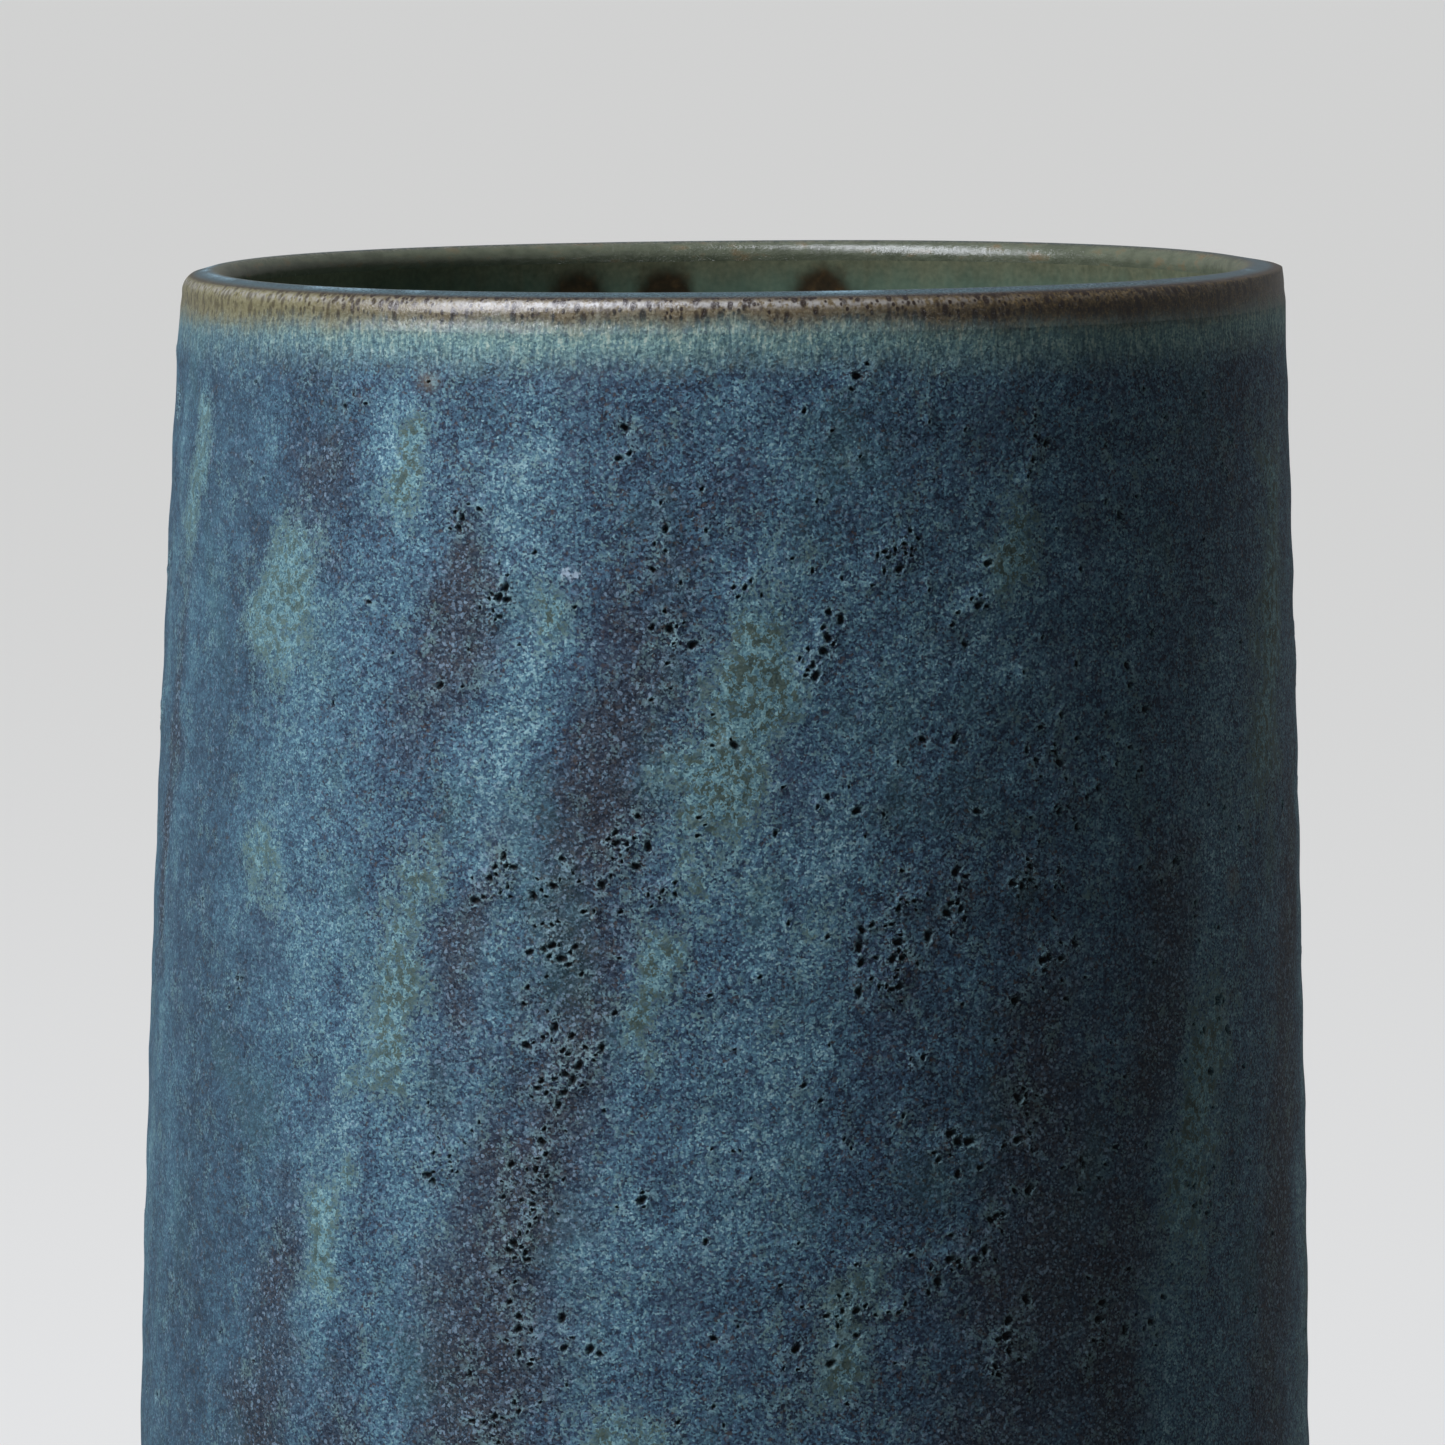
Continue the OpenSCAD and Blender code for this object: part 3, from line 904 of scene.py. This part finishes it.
liner_z = np.linspace(FLOOR_Z, BAND_IN_Z, 110)
liner_r = inside_radius(liner_z)
seat_r = np.linspace(0, 1, 6)[1:] * (liner_r[0] + LINER_COAT)
floor_r = np.linspace(0, 1, 24)[1:-1] * liner_r[0]
heel_pool = HEEL_POOL * np.exp(-(liner_r[0] - floor_r) / POOL_FADES)
liner_section = np.concatenate([
    line(seat_r, FLOOR_Z - LINER_COAT),
    line(liner_r + LINER_COAT, liner_z)[1:],
    line(liner_r, liner_z)[:0:-1],
    line(floor_r, FLOOR_Z + heel_pool)[::-1],
])
liner_angle = np.broadcast_to(around, (len(liner_section), COLUMNS))
liner_height = np.broadcast_to(liner_section[:, 1:], liner_angle.shape)
at_poles = np.zeros(2)
liner_marks = {
    "drop": np.concatenate([(HEIGHT - liner_height).ravel(), at_poles + HEIGHT]),
    "iron": np.concatenate([iron_stain(liner_angle, liner_height).ravel(), at_poles]),
}
rim_row = len(seat_r) + len(liner_z) - 2
liner_coat = turned_cup("liner_coat", liner_section, FLOOR_Z - LINER_COAT, FLOOR_Z,
                        (len(seat_r) - 1, rim_row, rim_row + 1), liner_marks)

# %% The iron spots
SPOT_SPOKES = 40
SPOT_STEPS = 8
SPOT_PROUD = 0.02
SPOT_DEEP = 0.3
SPOT_HEART = 0.02


def spot_grid(at, phase):
    """Angle, height and depth of one lens: rows run out over its face and back in behind it."""
    turn = np.linspace(0, TURN, SPOT_SPOKES, endpoint=False)[None, :]
    outward = np.linspace(SPOT_HEART, 1, SPOT_STEPS)
    out = np.concatenate([outward, outward[-2::-1]])[:, None]
    behind = (np.arange(len(out)) >= SPOT_STEPS)[:, None]
    uneven = 1 + 0.05 * np.cos(2 * turn + phase) + 0.03 * np.cos(5 * turn + 2 * phase)
    z = SPOT_Z + SPOT_R * out * uneven * np.sin(turn)
    angle = math.radians(at) + SPOT_R * out * uneven * np.cos(turn) / RIM_R
    depth = np.where(behind, SPOT_DEEP, -SPOT_PROUD) * (1 - out**2) * np.ones_like(z)
    return np.stack([angle, z, depth])


spots = np.stack([spot_grid(at, 1.7 * number) for number, at in enumerate(SPOT_ANGLES)], axis=1)
spot_angle, spot_z, spot_depth = spots
spot_radius = inside_radius(spot_z) + hand_wobble(spot_angle, spot_z) + spot_depth
lenses = place(spot_angle, spot_radius, spot_z)
spot_marks = {"iron": iron_stain(spot_angle, spot_z), "drop": HEIGHT - spot_z}
lens_rows = lenses.shape[1]
lens_size = lens_rows * SPOT_SPOKES
spot_faces = []
spot_rims = []
for first in range(0, lens_size * len(SPOT_ANGLES), lens_size):
    spot_rims.append(first + (SPOT_STEPS - 1) * SPOT_SPOKES + np.arange(SPOT_SPOKES))
    spot_faces += (ring_faces(lens_rows, SPOT_SPOKES, False) + first).tolist()
    spot_faces.append((first + np.arange(SPOT_SPOKES)[::-1]).tolist())
    spot_faces.append((first + lens_size - SPOT_SPOKES + np.arange(SPOT_SPOKES)).tolist())
iron_bloom = make_piece("iron_bloom", lenses.reshape(-1, 3), spot_faces, spot_rims, spot_marks)

# %% [markdown]
# ## The clay under the glaze
# Only a narrow strip above the foot, the foot ring and the underside are bare clay, but the whole
# body is made so that the coats have something to lie on. The foot was turned on the wheel with a
# loop tool, which leaves fine rings on the ring's faces and under the floor.

# %% The clay wall
wall_z = np.linspace(FLOOR_Z, BAND_OUT_Z, 60)
hollow_z = np.linspace(BAND_IN_Z, FLOOR_Z, 60)
wall_section = np.concatenate([
    line(outside_radius(wall_z) - OUTER_COAT, wall_z),
    clay_lip,
    line(inside_radius(hollow_z) + LINER_COAT, hollow_z),
])
clay_body = turned_ring("clay_body", wall_section, (0, len(wall_section) - 1))

# %% The base and the foot ring
TOOL_STEP = 1.3
TOOL_DEPTH = 0.05
UNDER_CUT = 0.25
EDGE_SOFT = 0.25


def tool_rings(along):
    """Depth in mm of the loop tool's rings at a distance along an outline."""
    return TOOL_DEPTH * (0.5 - 0.5 * np.cos(TURN * along / TOOL_STEP))


under_r = np.linspace(0, FOOT_R - FOOT_W, 60)[1:]
side_z = np.linspace(FOOT_H, FLOOR_Z, 40)
seat_edge = inside_radius(FLOOR_Z) + LINER_COAT
base_section = np.concatenate([
    line(under_r, FOOT_H - UNDER_CUT + tool_rings(under_r)),
    line(outside_radius(side_z) - OUTER_COAT - tool_rings(side_z), side_z),
    line([seat_edge], FLOOR_Z),
    line([seat_edge, seat_edge / 2], FLOOR_Z - LINER_COAT),
])
side_row = len(under_r)
clay_floor = turned_cup("clay_floor", base_section, FOOT_H - UNDER_CUT, FLOOR_Z - LINER_COAT,
                        (side_row, side_row + len(side_z) - 1, side_row + len(side_z)))

ring_z = np.linspace(FOOT_BEVEL, FOOT_H, 30)
ring_inner = FOOT_R - FOOT_W
sole_r = np.linspace(ring_inner + FOOT_BEVEL, FOOT_R - FOOT_BEVEL, 28)
ring_section = np.concatenate([
    line(sole_r, tool_rings(sole_r - sole_r[0])),
    line([FOOT_R - EDGE_SOFT], EDGE_SOFT),
    line(FOOT_R - tool_rings(ring_z), ring_z),
    line(ring_inner + tool_rings(ring_z), ring_z)[::-1],
    line([ring_inner + EDGE_SOFT], EDGE_SOFT),
])
top_row = len(sole_r) + len(ring_z)
clay_foot = turned_ring("clay_foot", ring_section, (top_row, top_row + 1))

# %% [markdown]
# ## Mixing a finish
# A glaze is a recipe, and so is its material here: fields of noise at several sizes are added up
# and read through a ramp of colours. The little class below adds one node for each step of the
# recipe. Patterns are measured in millimetres on the vase's own coordinates, and colours are
# written as they look on a screen, from 0 to 255.

# %% The recipe helper
def paint(red, green, blue):
    """A screen colour, 0 to 255, as the linear colour that a shader takes."""
    c = np.array([red, green, blue]) / 255
    linear = np.where(c <= 0.04045, c / 12.92, ((c + 0.055) / 1.055) ** 2.4)
    return (*linear.tolist(), 1)


class Finish:
    """A material under way. Each method adds to its nodes and gives back an output."""

    def __init__(self, name):
        self.material = bpy.data.materials.new(name)
        self.material.use_nodes = True
        self.tree = self.material.node_tree
        self.here = self.add("TexCoord").outputs["Object"]

    def add(self, kind, **inputs):
        """A new node of this material."""
        return add_node(self.tree, kind, **inputs)

    def measured(self, across, up=None):
        """Object coordinates counted in steps of `across` mm, and of `up` mm vertically."""
        flat, tall = 1 / (across * MM), 1 / ((up or across) * MM)
        return self.add("Mapping", Vector=self.here, Scale=(flat, flat, tall)).outputs[0]

    def cloud(self, across, up=None, detail=2.0, roughness=0.55, seed=0.0):
        """Soft noise from 0 to 1."""
        node = self.add("TexNoise", Vector=self.measured(across, up), Scale=1, Detail=detail,
                        Roughness=roughness)
        node.noise_dimensions = "4D"
        node.inputs["W"].default_value = seed
        return node.outputs[0]

    def cells(self, across, up=None):
        """Voronoi cells: distance from the cell's heart, and a random value for each cell."""
        node = self.add("TexVoronoi", Vector=self.measured(across, up), Scale=1)
        split = self.add("SeparateColor", Color=node.outputs["Color"])
        return node.outputs["Distance"], split.outputs[0]

    def mark(self, name):
        """A value stored at the mesh's points, or 0 on a piece that doesn't have it."""
        node = self.add("Attribute")
        node.attribute_name = name
        return node.outputs["Fac"]

    def times(self, a, b):
        """Two values multiplied."""
        return worked_out(self.tree, "MULTIPLY", a, b)

    def larger(self, a, b):
        """The larger of two values."""
        return worked_out(self.tree, "MAXIMUM", a, b)

    def blend(self, start, *terms):
        """start plus each (value, weight): a weighted sum."""
        total = start
        for value, weight in terms:
            total = worked_out(self.tree, "ADD", total, self.times(value, weight))
        return total

    def span(self, value, low, high, first=0.0, last=1.0):
        """first below low, last above high, and a smooth step between them."""
        node = self.add("MapRange", Value=value, From_Min=low, From_Max=high, To_Min=first, To_Max=last)
        node.interpolation_type = "SMOOTHSTEP"
        return node.outputs[0]

    def ramp(self, value, *stops):
        """Colours at stops (position, red, green, blue), blended between them."""
        node = self.add("ValToRGB")
        elements = node.color_ramp.elements
        while len(elements) < len(stops):
            elements.new(0.5)
        for element, (position, *colour) in zip(elements, stops):
            element.position = position
            element.color = paint(*colour)
        feed(self.tree, node.inputs[0], value)
        return node.outputs[0]

    def over(self, below, above, share):
        """The colour above laid over the colour below, by share."""
        node = self.add("Mix")
        node.data_type = "RGBA"
        for number, value in ((0, share), (6, below), (7, above)):
            feed(self.tree, node.inputs[number], value)
        return node.outputs[2]

    def bumped(self, *layers):
        """A normal from layers (height, depth in mm), each laid on the one before."""
        normal = None
        for height, depth in layers:
            node = self.add("Bump", Distance=depth * MM, Height=height)
            if normal is not None:
                self.tree.links.new(normal, node.inputs["Normal"])
            normal = node.outputs[0]
        return normal

    def done(self, colour, roughness, normal, specular=0.5):
        """Fill in the shader and give back the material."""
        shader = self.tree.nodes["Principled BSDF"].inputs
        feed(self.tree, shader["Base Color"], colour)
        feed(self.tree, shader["Roughness"], roughness)
        feed(self.tree, shader["Normal"], normal)
        shader["Specular IOR Level"].default_value = specular
        print("Finish", self.material.name, "has", len(self.tree.nodes), "nodes")
        return self.material


print("A mid grey on the screen is", round(paint(128, 128, 128)[0], 3), "to a shader")

# %% [markdown]
# ## The blue glaze and the brown lip
# Up close the blue is a crowd of tiny crystals, each a little lighter or darker than the next, on
# a dark ground. Where the glaze is thick the crystals are pale and cluster into a turquoise net
# with olive gaps; where it is thin they turn rusty on plum. Near the lip the glaze thins away
# through turquoise needles to brown with iron specks. The coat and the lip are two pieces of one
# firing, so one recipe makes both finishes and the join can't be seen.

# %% Crystals, plum and runs
def by_soft_left_sheen(f, wild, soft_left_sheen, low=0.0, high=1.0):
    """A number that goes from wild on the wall at large to soft_left_sheen on the lit left side, under its
    painted sheen.
    """
    return f.span(f.mark("soft_left_sheen"), low, high, wild, soft_left_sheen)


def crystal_ground(f):
    """Blue crystals: level = tone + clouds + grains, read through a ramp from navy to pale.

    Broad casts, sea green in some places and violet in others, lie over them.
    """
    _, grain = f.cells(0.2)
    fine = f.cloud(0.3, detail=3.0, roughness=0.8)
    clump = f.cloud(0.9, detail=2.0, roughness=0.6, seed=11.0)
    mottle = f.cloud(2.4, detail=4.0, roughness=0.6)
    drift = f.cloud(7.0, 14.0, detail=3.0, seed=3.0)
    crystals = f.times(f.blend(-0.775, (grain, 0.6), (fine, 0.95)), by_soft_left_sheen(f, 1.0, 0.5))
    level = f.blend(-0.215, (f.mark("tone"), 0.34), (crystals, 1.0), (clump, 0.6),
                    (mottle, 0.55), (drift, 0.34))
    colour = f.ramp(level, (0.0, 18, 24, 36), (0.28, 42, 59, 80),
                    (0.5, 66, 95, 119), (0.72, 90, 131, 151),
                    (0.9, 122, 168, 180), (1.0, 166, 204, 210))
    _, rusty = f.cells(0.34)
    rust_grains = f.times(f.span(rusty, 0.84, 0.9, 0.0, 0.6), f.span(level, 0.25, 0.6, 1.0, 0.0))
    colour = f.over(colour, paint(92, 82, 76), rust_grains)
    cast = f.cloud(9.0, 15.0, detail=3.0, seed=21.0)
    colour = f.over(colour, paint(74, 114, 114), f.span(cast, 0.54, 0.7, 0.0, 0.3))
    colour = f.over(colour, paint(60, 70, 93), f.span(cast, 0.3, 0.46, 0.3, 0.0))
    # Painted sheen: a lighter grey-blue laid over the lit left side.
    colour = f.over(colour, paint(76, 101, 110), by_soft_left_sheen(f, 0.0, 0.3, 0.1, 0.9))
    return colour, grain, fine


def plum_over(f, colour, grain, fine):
    """A dark ground with brownish grains and a few painted glints, where the coat is thin."""
    speck = f.blend(-0.3, (grain, 0.6), (fine, 1.0))
    # Painted glints: the ramp's palest stop, and the pale cells below, stand in for sparkles of light.
    plum = f.ramp(speck, (0.1, 21, 26, 35), (0.4, 42, 54, 68),
                  (0.6, 84, 78, 74), (0.74, 76, 97, 118), (0.95, 142, 168, 187))
    ragged = f.blend(-1.1, (f.mark("plum"), 1.0), (grain, 0.4),
                     (f.cloud(3.4, detail=5.0, roughness=0.68, seed=8.0), 1.8))
    colour = f.over(colour, plum, f.span(ragged, 0.1, 1.0, 0.0, 0.74))
    _, glint = f.cells(0.28)
    painted_glints = f.times(f.span(glint, 0.92, 0.95, 0.0, 0.6), f.span(ragged, -0.4, 0.8, 0.2, 1.0))
    return f.over(colour, paint(150, 176, 196), painted_glints)


def run_over(f, colour, grain):
    """Pale turquoise net with dark olive hearts, where the coat ran thick."""
    soft = f.cloud(2.6, 3.6, detail=5.0, roughness=0.7, seed=5.0)
    ragged = f.blend(-1.25, (f.mark("run"), 1.0), (soft, 2.2), (grain, 0.4))
    thick = f.span(ragged, 0.1, 0.9)
    net = f.ramp(f.blend(0.0, (grain, 0.6), (f.cloud(0.6, detail=2.0, seed=6.0), 0.5)),
                 (0.2, 80, 120, 132), (0.55, 118, 164, 170), (0.85, 164, 206, 204))
    warm = f.blend(-0.1, (f.cloud(0.8, 1.0, detail=2.5, roughness=0.5, seed=2.0), 1.0), (grain, 0.2))
    heart = f.over(paint(46, 58, 50), paint(78, 90, 74), grain)
    colour = f.over(colour, net, f.times(thick, by_soft_left_sheen(f, 0.75, 0.55)))
    vein = f.times(thick, f.span(warm, 0.40, 0.48, 0.0, 0.4))
    colour = f.over(colour, paint(146, 188, 190), vein)
    hearts = f.times(f.span(warm, 0.5, 0.55, 0.0, 0.88), by_soft_left_sheen(f, 1.0, 0.65))
    return f.over(colour, heart, f.times(thick, hearts))


print("Recipes for the wall:", [step.__name__ for step in (crystal_ground, plum_over, run_over)])


# %% The brown lip and the chance marks
def lip_over(f, colour, grain, fine):
    """Brown band with iron specks, then turquoise needles, by depth below the lip."""
    needle = f.cloud(0.34, 1.4, detail=2.0, roughness=0.6, seed=4.0)
    depth = f.blend(1.8, (f.mark("drop"), 1.0), (needle, -1.4), (f.cloud(2.4, detail=3.0, seed=1.0), -1.6),
                    (fine, -0.6))
    teal = f.ramp(f.blend(0.0, (needle, 0.85), (grain, 0.25)), (0.3, 82, 116, 124),
                  (0.5, 124, 164, 164), (0.64, 166, 204, 192), (0.76, 208, 228, 210))
    teal_share = f.times(f.span(depth, 3.0, 8.0, 0.9, 0.0), by_soft_left_sheen(f, 1.0, 0.35))
    colour = f.over(colour, teal, teal_share)
    rust = f.ramp(f.blend(0.0, (fine, 0.7), (grain, 0.3)), (0.25, 88, 74, 54),
                  (0.5, 126, 112, 84), (0.75, 156, 146, 120))
    golden = f.ramp(fine, (0.3, 34, 26, 16), (0.5, 82, 66, 40), (0.68, 148, 124, 78))
    # The lip is darker and more golden brown on the right.
    rust = f.over(rust, golden, f.mark("darker_right"))
    # Painted highlight: the brown lip is lighter on the lit left side.
    rust = f.over(rust, paint(146, 146, 106), by_soft_left_sheen(f, 0.0, 0.5, 0.0, 0.7))
    far, pick = f.cells(0.7, 1.5)
    speck = f.times(f.span(far, 0.3, 0.58, 1.0, 0.0), f.span(pick, 0.3, 0.5))
    speck = f.times(speck, f.span(fine, 0.28, 0.46))
    near, choice = f.cells(0.45, 0.7)
    dot = f.times(f.span(near, 0.25, 0.5, 1.0, 0.0), f.span(choice, 0.5, 0.6))
    speck = f.times(f.larger(speck, dot), by_soft_left_sheen(f, 0.95, 0.5, 0.1, 0.9))
    # Painted highlight: pale flecks broken up over the shoulder.
    broken = f.span(f.cloud(0.45, 0.9, detail=3.0, seed=14.0), 0.4, 0.56, 0.0, 0.9)
    pale = f.times(f.mark("shoulder"), by_soft_left_sheen(f, 1.0, 0.6, 0.0, 0.2))
    rust = f.over(rust, paint(186, 184, 180), f.times(pale, broken))
    brown = f.over(rust, paint(44, 30, 24), speck)
    thin = f.span(depth, 1.4, 4.6, 1.0, 0.0)
    return f.over(colour, brown, thin), thin


def chance_marks_over(f, colour, grain):
    """White crystals, rusty halos, broken skin and pinholes with their pale raised edges, with shade
    painted into holes and craters and glints painted on the broken skin.
    """
    curl = f.blend(-1.0, (f.mark("speck"), 1.2), (f.cloud(0.8, detail=3.0, seed=13.0), 1.4), (grain, 0.2))
    colour = f.over(colour, paint(186, 206, 222), f.span(curl, 0.35, 0.6, 0.0, 0.9))
    colour = f.over(colour, paint(122, 106, 82), f.times(f.mark("halo"), 0.7))
    far, pick = f.cells(0.5)
    burst = f.times(f.span(pick, 0.45, 0.6), f.mark("rough"))
    # Pale raised edges round the pinholes, and painted glints on grains of the broken skin.
    edges_and_glints = f.times(f.mark("edge"), f.span(grain, 0.1, 0.7, 0.0, 0.75))
    edges_and_glints = f.larger(edges_and_glints, f.times(burst, f.span(grain, 0.4, 0.8, 0.0, 0.5)))
    colour = f.over(colour, paint(146, 182, 186), edges_and_glints)
    # Painted shade: the pinholes, and small craters of the broken skin that are only painted, turn near
    # black inside.
    hole = f.times(burst, f.span(far, 0.2, 0.42, 0.9, 0.0))
    hole = f.larger(f.times(f.mark("pit_shade"), 0.92), hole)
    return f.over(colour, paint(16, 15, 16), hole)


print("Recipes for its edges and marks:", [step.__name__ for step in (lip_over, chance_marks_over)])


# %% The two outer finishes
def outer_finish(name, specular):
    """The whole recipe: crystals, plum, runs, lip and chance marks, then gloss and relief."""
    f = Finish(name)
    colour, grain, fine = crystal_ground(f)
    colour = plum_over(f, colour, grain, fine)
    colour = run_over(f, colour, grain)
    colour, thin = lip_over(f, colour, grain, fine)
    inner = f.ramp(f.cloud(2.4, 1.2, detail=3.0, seed=12.0), (0.35, 90, 96, 78),
                   (0.55, 106, 112, 92), (0.7, 122, 108, 80))
    colour = f.over(colour, inner, f.mark("inner"))
    crown = f.ramp(fine, (0.3, 40, 62, 72), (0.6, 86, 112, 120))
    colour = f.over(colour, crown, f.mark("crown"))
    colour = f.over(colour, paint(46, 34, 36), f.times(f.mark("arris"), 0.75))
    # Painted highlight: the bright line on the lip's top.
    painted_gleam = f.times(f.mark("painted_gleam"), f.span(fine, 0.3, 0.6))
    colour = f.over(colour, paint(160, 196, 210), painted_gleam)
    colour = chance_marks_over(f, colour, grain)
    roughness = f.blend(0.42, (fine, 0.24), (f.mark("rough"), -0.08), (thin, -0.33))
    height = f.times(f.blend(0.0, (grain, 0.5), (fine, 1.0)), f.span(thin, 0.0, 1.0, 1.0, 0.5))
    swells = f.times(f.cloud(1.3, detail=2.0, seed=9.0), f.span(thin, 0.0, 1.0, 1.0, 0.4))
    harsh = f.times(f.cloud(0.6, seed=7.0), f.mark("rough"))
    normal = f.bumped((swells, 0.2), (height, 0.1), (harsh, 0.3))
    return f.done(colour, roughness, normal, specular)


blue_glaze = outer_finish("blue_glaze", specular=0.3)
lip_glaze = outer_finish("lip_glaze", specular=0.9)

# %% [markdown]
# ## The liner, the iron and the clay
# The liner is a smooth green glass over the clay, browner where it thins towards the lip and
# round the iron spots. Bare clay is matt and buff, full of grog and small iron specks. These
# recipes are shorter, but each still varies its colour, its gloss and its surface.

# %% The other finishes
def liner_finish(name):
    """Green glass: cloudy green, ochre near the lip, and iron brown where iron has bled."""
    f = Finish(name)
    cloudy = f.cloud(6.0, 10.0, detail=4.0)
    fine = f.cloud(0.6, detail=3.0)
    green = f.ramp(f.blend(0.0, (cloudy, 0.8), (fine, 0.25)), (0.3, 60, 80, 66),
                   (0.52, 86, 106, 90), (0.75, 112, 130, 108))
    streak = f.cloud(1.5, 5.0, detail=3.0, seed=2.0)
    depth = f.blend(0.0, (f.mark("drop"), 1.0), (streak, -3.0))
    ochre = f.ramp(fine, (0.3, 96, 84, 58), (0.7, 132, 120, 88))
    colour = f.over(green, ochre, f.span(depth, 0.0, 4.0, 0.5, 0.0))
    patch = f.cloud(1.1, detail=3.0)
    iron = f.ramp(patch, (0.3, 34, 26, 18), (0.55, 54, 40, 26), (0.75, 80, 60, 36))
    stain = f.blend(-0.3, (f.mark("iron"), 1.1), (streak, 0.3), (patch, 0.3))
    colour = f.over(colour, iron, f.span(stain, 0.0, 0.9, 0.0, 0.95))
    normal = f.bumped((f.cloud(3.0, detail=2.0), 0.10), (fine, 0.012))
    return f.done(colour, f.blend(0.12, (fine, 0.14)), normal)


def clay_finish():
    """Fired stoneware: buff clay with pale grog, toasted patches and iron specks."""
    f = Finish("bare_clay")
    toast = f.cloud(14.0, detail=4.0)
    grit = f.cloud(0.5, detail=4.0, roughness=0.7)
    body = f.ramp(f.blend(0.0, (toast, 0.7), (grit, 0.35)), (0.3, 128, 100, 74),
                  (0.52, 164, 136, 106), (0.75, 190, 166, 136))
    speck_far, speck_pick = f.cells(1.6)
    speck = f.times(f.span(speck_far, 0.12, 0.25, 1.0, 0.0), f.span(speck_pick, 0.6, 0.7))
    colour = f.over(body, paint(66, 46, 34), f.times(speck, 0.85))
    normal = f.bumped((grit, 0.12), (f.cloud(2.0, detail=3.0), 0.10))
    return f.done(colour, f.blend(0.72, (grit, 0.2)), normal, specular=0.3)


green_liner = liner_finish("green_liner")
iron_brown = liner_finish("iron_brown")
bare_clay = clay_finish()

# %% [markdown]
# ## Dressing the CAD model
# Each piece takes its finish, rides on the vase's one body and stands for the CAD solids that it
# was worked out from. Those solids stay in the physics model, and aren't drawn.

# %% Join the pieces to the frame
DRESSING = [
    (outer_coat, blue_glaze, "blue_glaze", ("outer_glaze", "glaze_runs")),
    (lip_coat, lip_glaze, "brown_glaze", ("lip_glaze",)),
    (liner_coat, green_liner, "green_glaze", ("liner_glaze",)),
    (iron_bloom, iron_brown, "iron_brown", ("iron_spots",)),
    (clay_body, bare_clay, "bare_clay", ("clay_wall",)),
    (clay_floor, bare_clay, "bare_clay", ("clay_base",)),
    (clay_foot, bare_clay, "bare_clay", ("foot_ring",)),
]
for piece, finish, slot, nodes in DRESSING:
    piece.data.materials.append(finish)
    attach(piece, "root")
    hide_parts(*nodes)
    print(piece.name, "stands for", nodes)
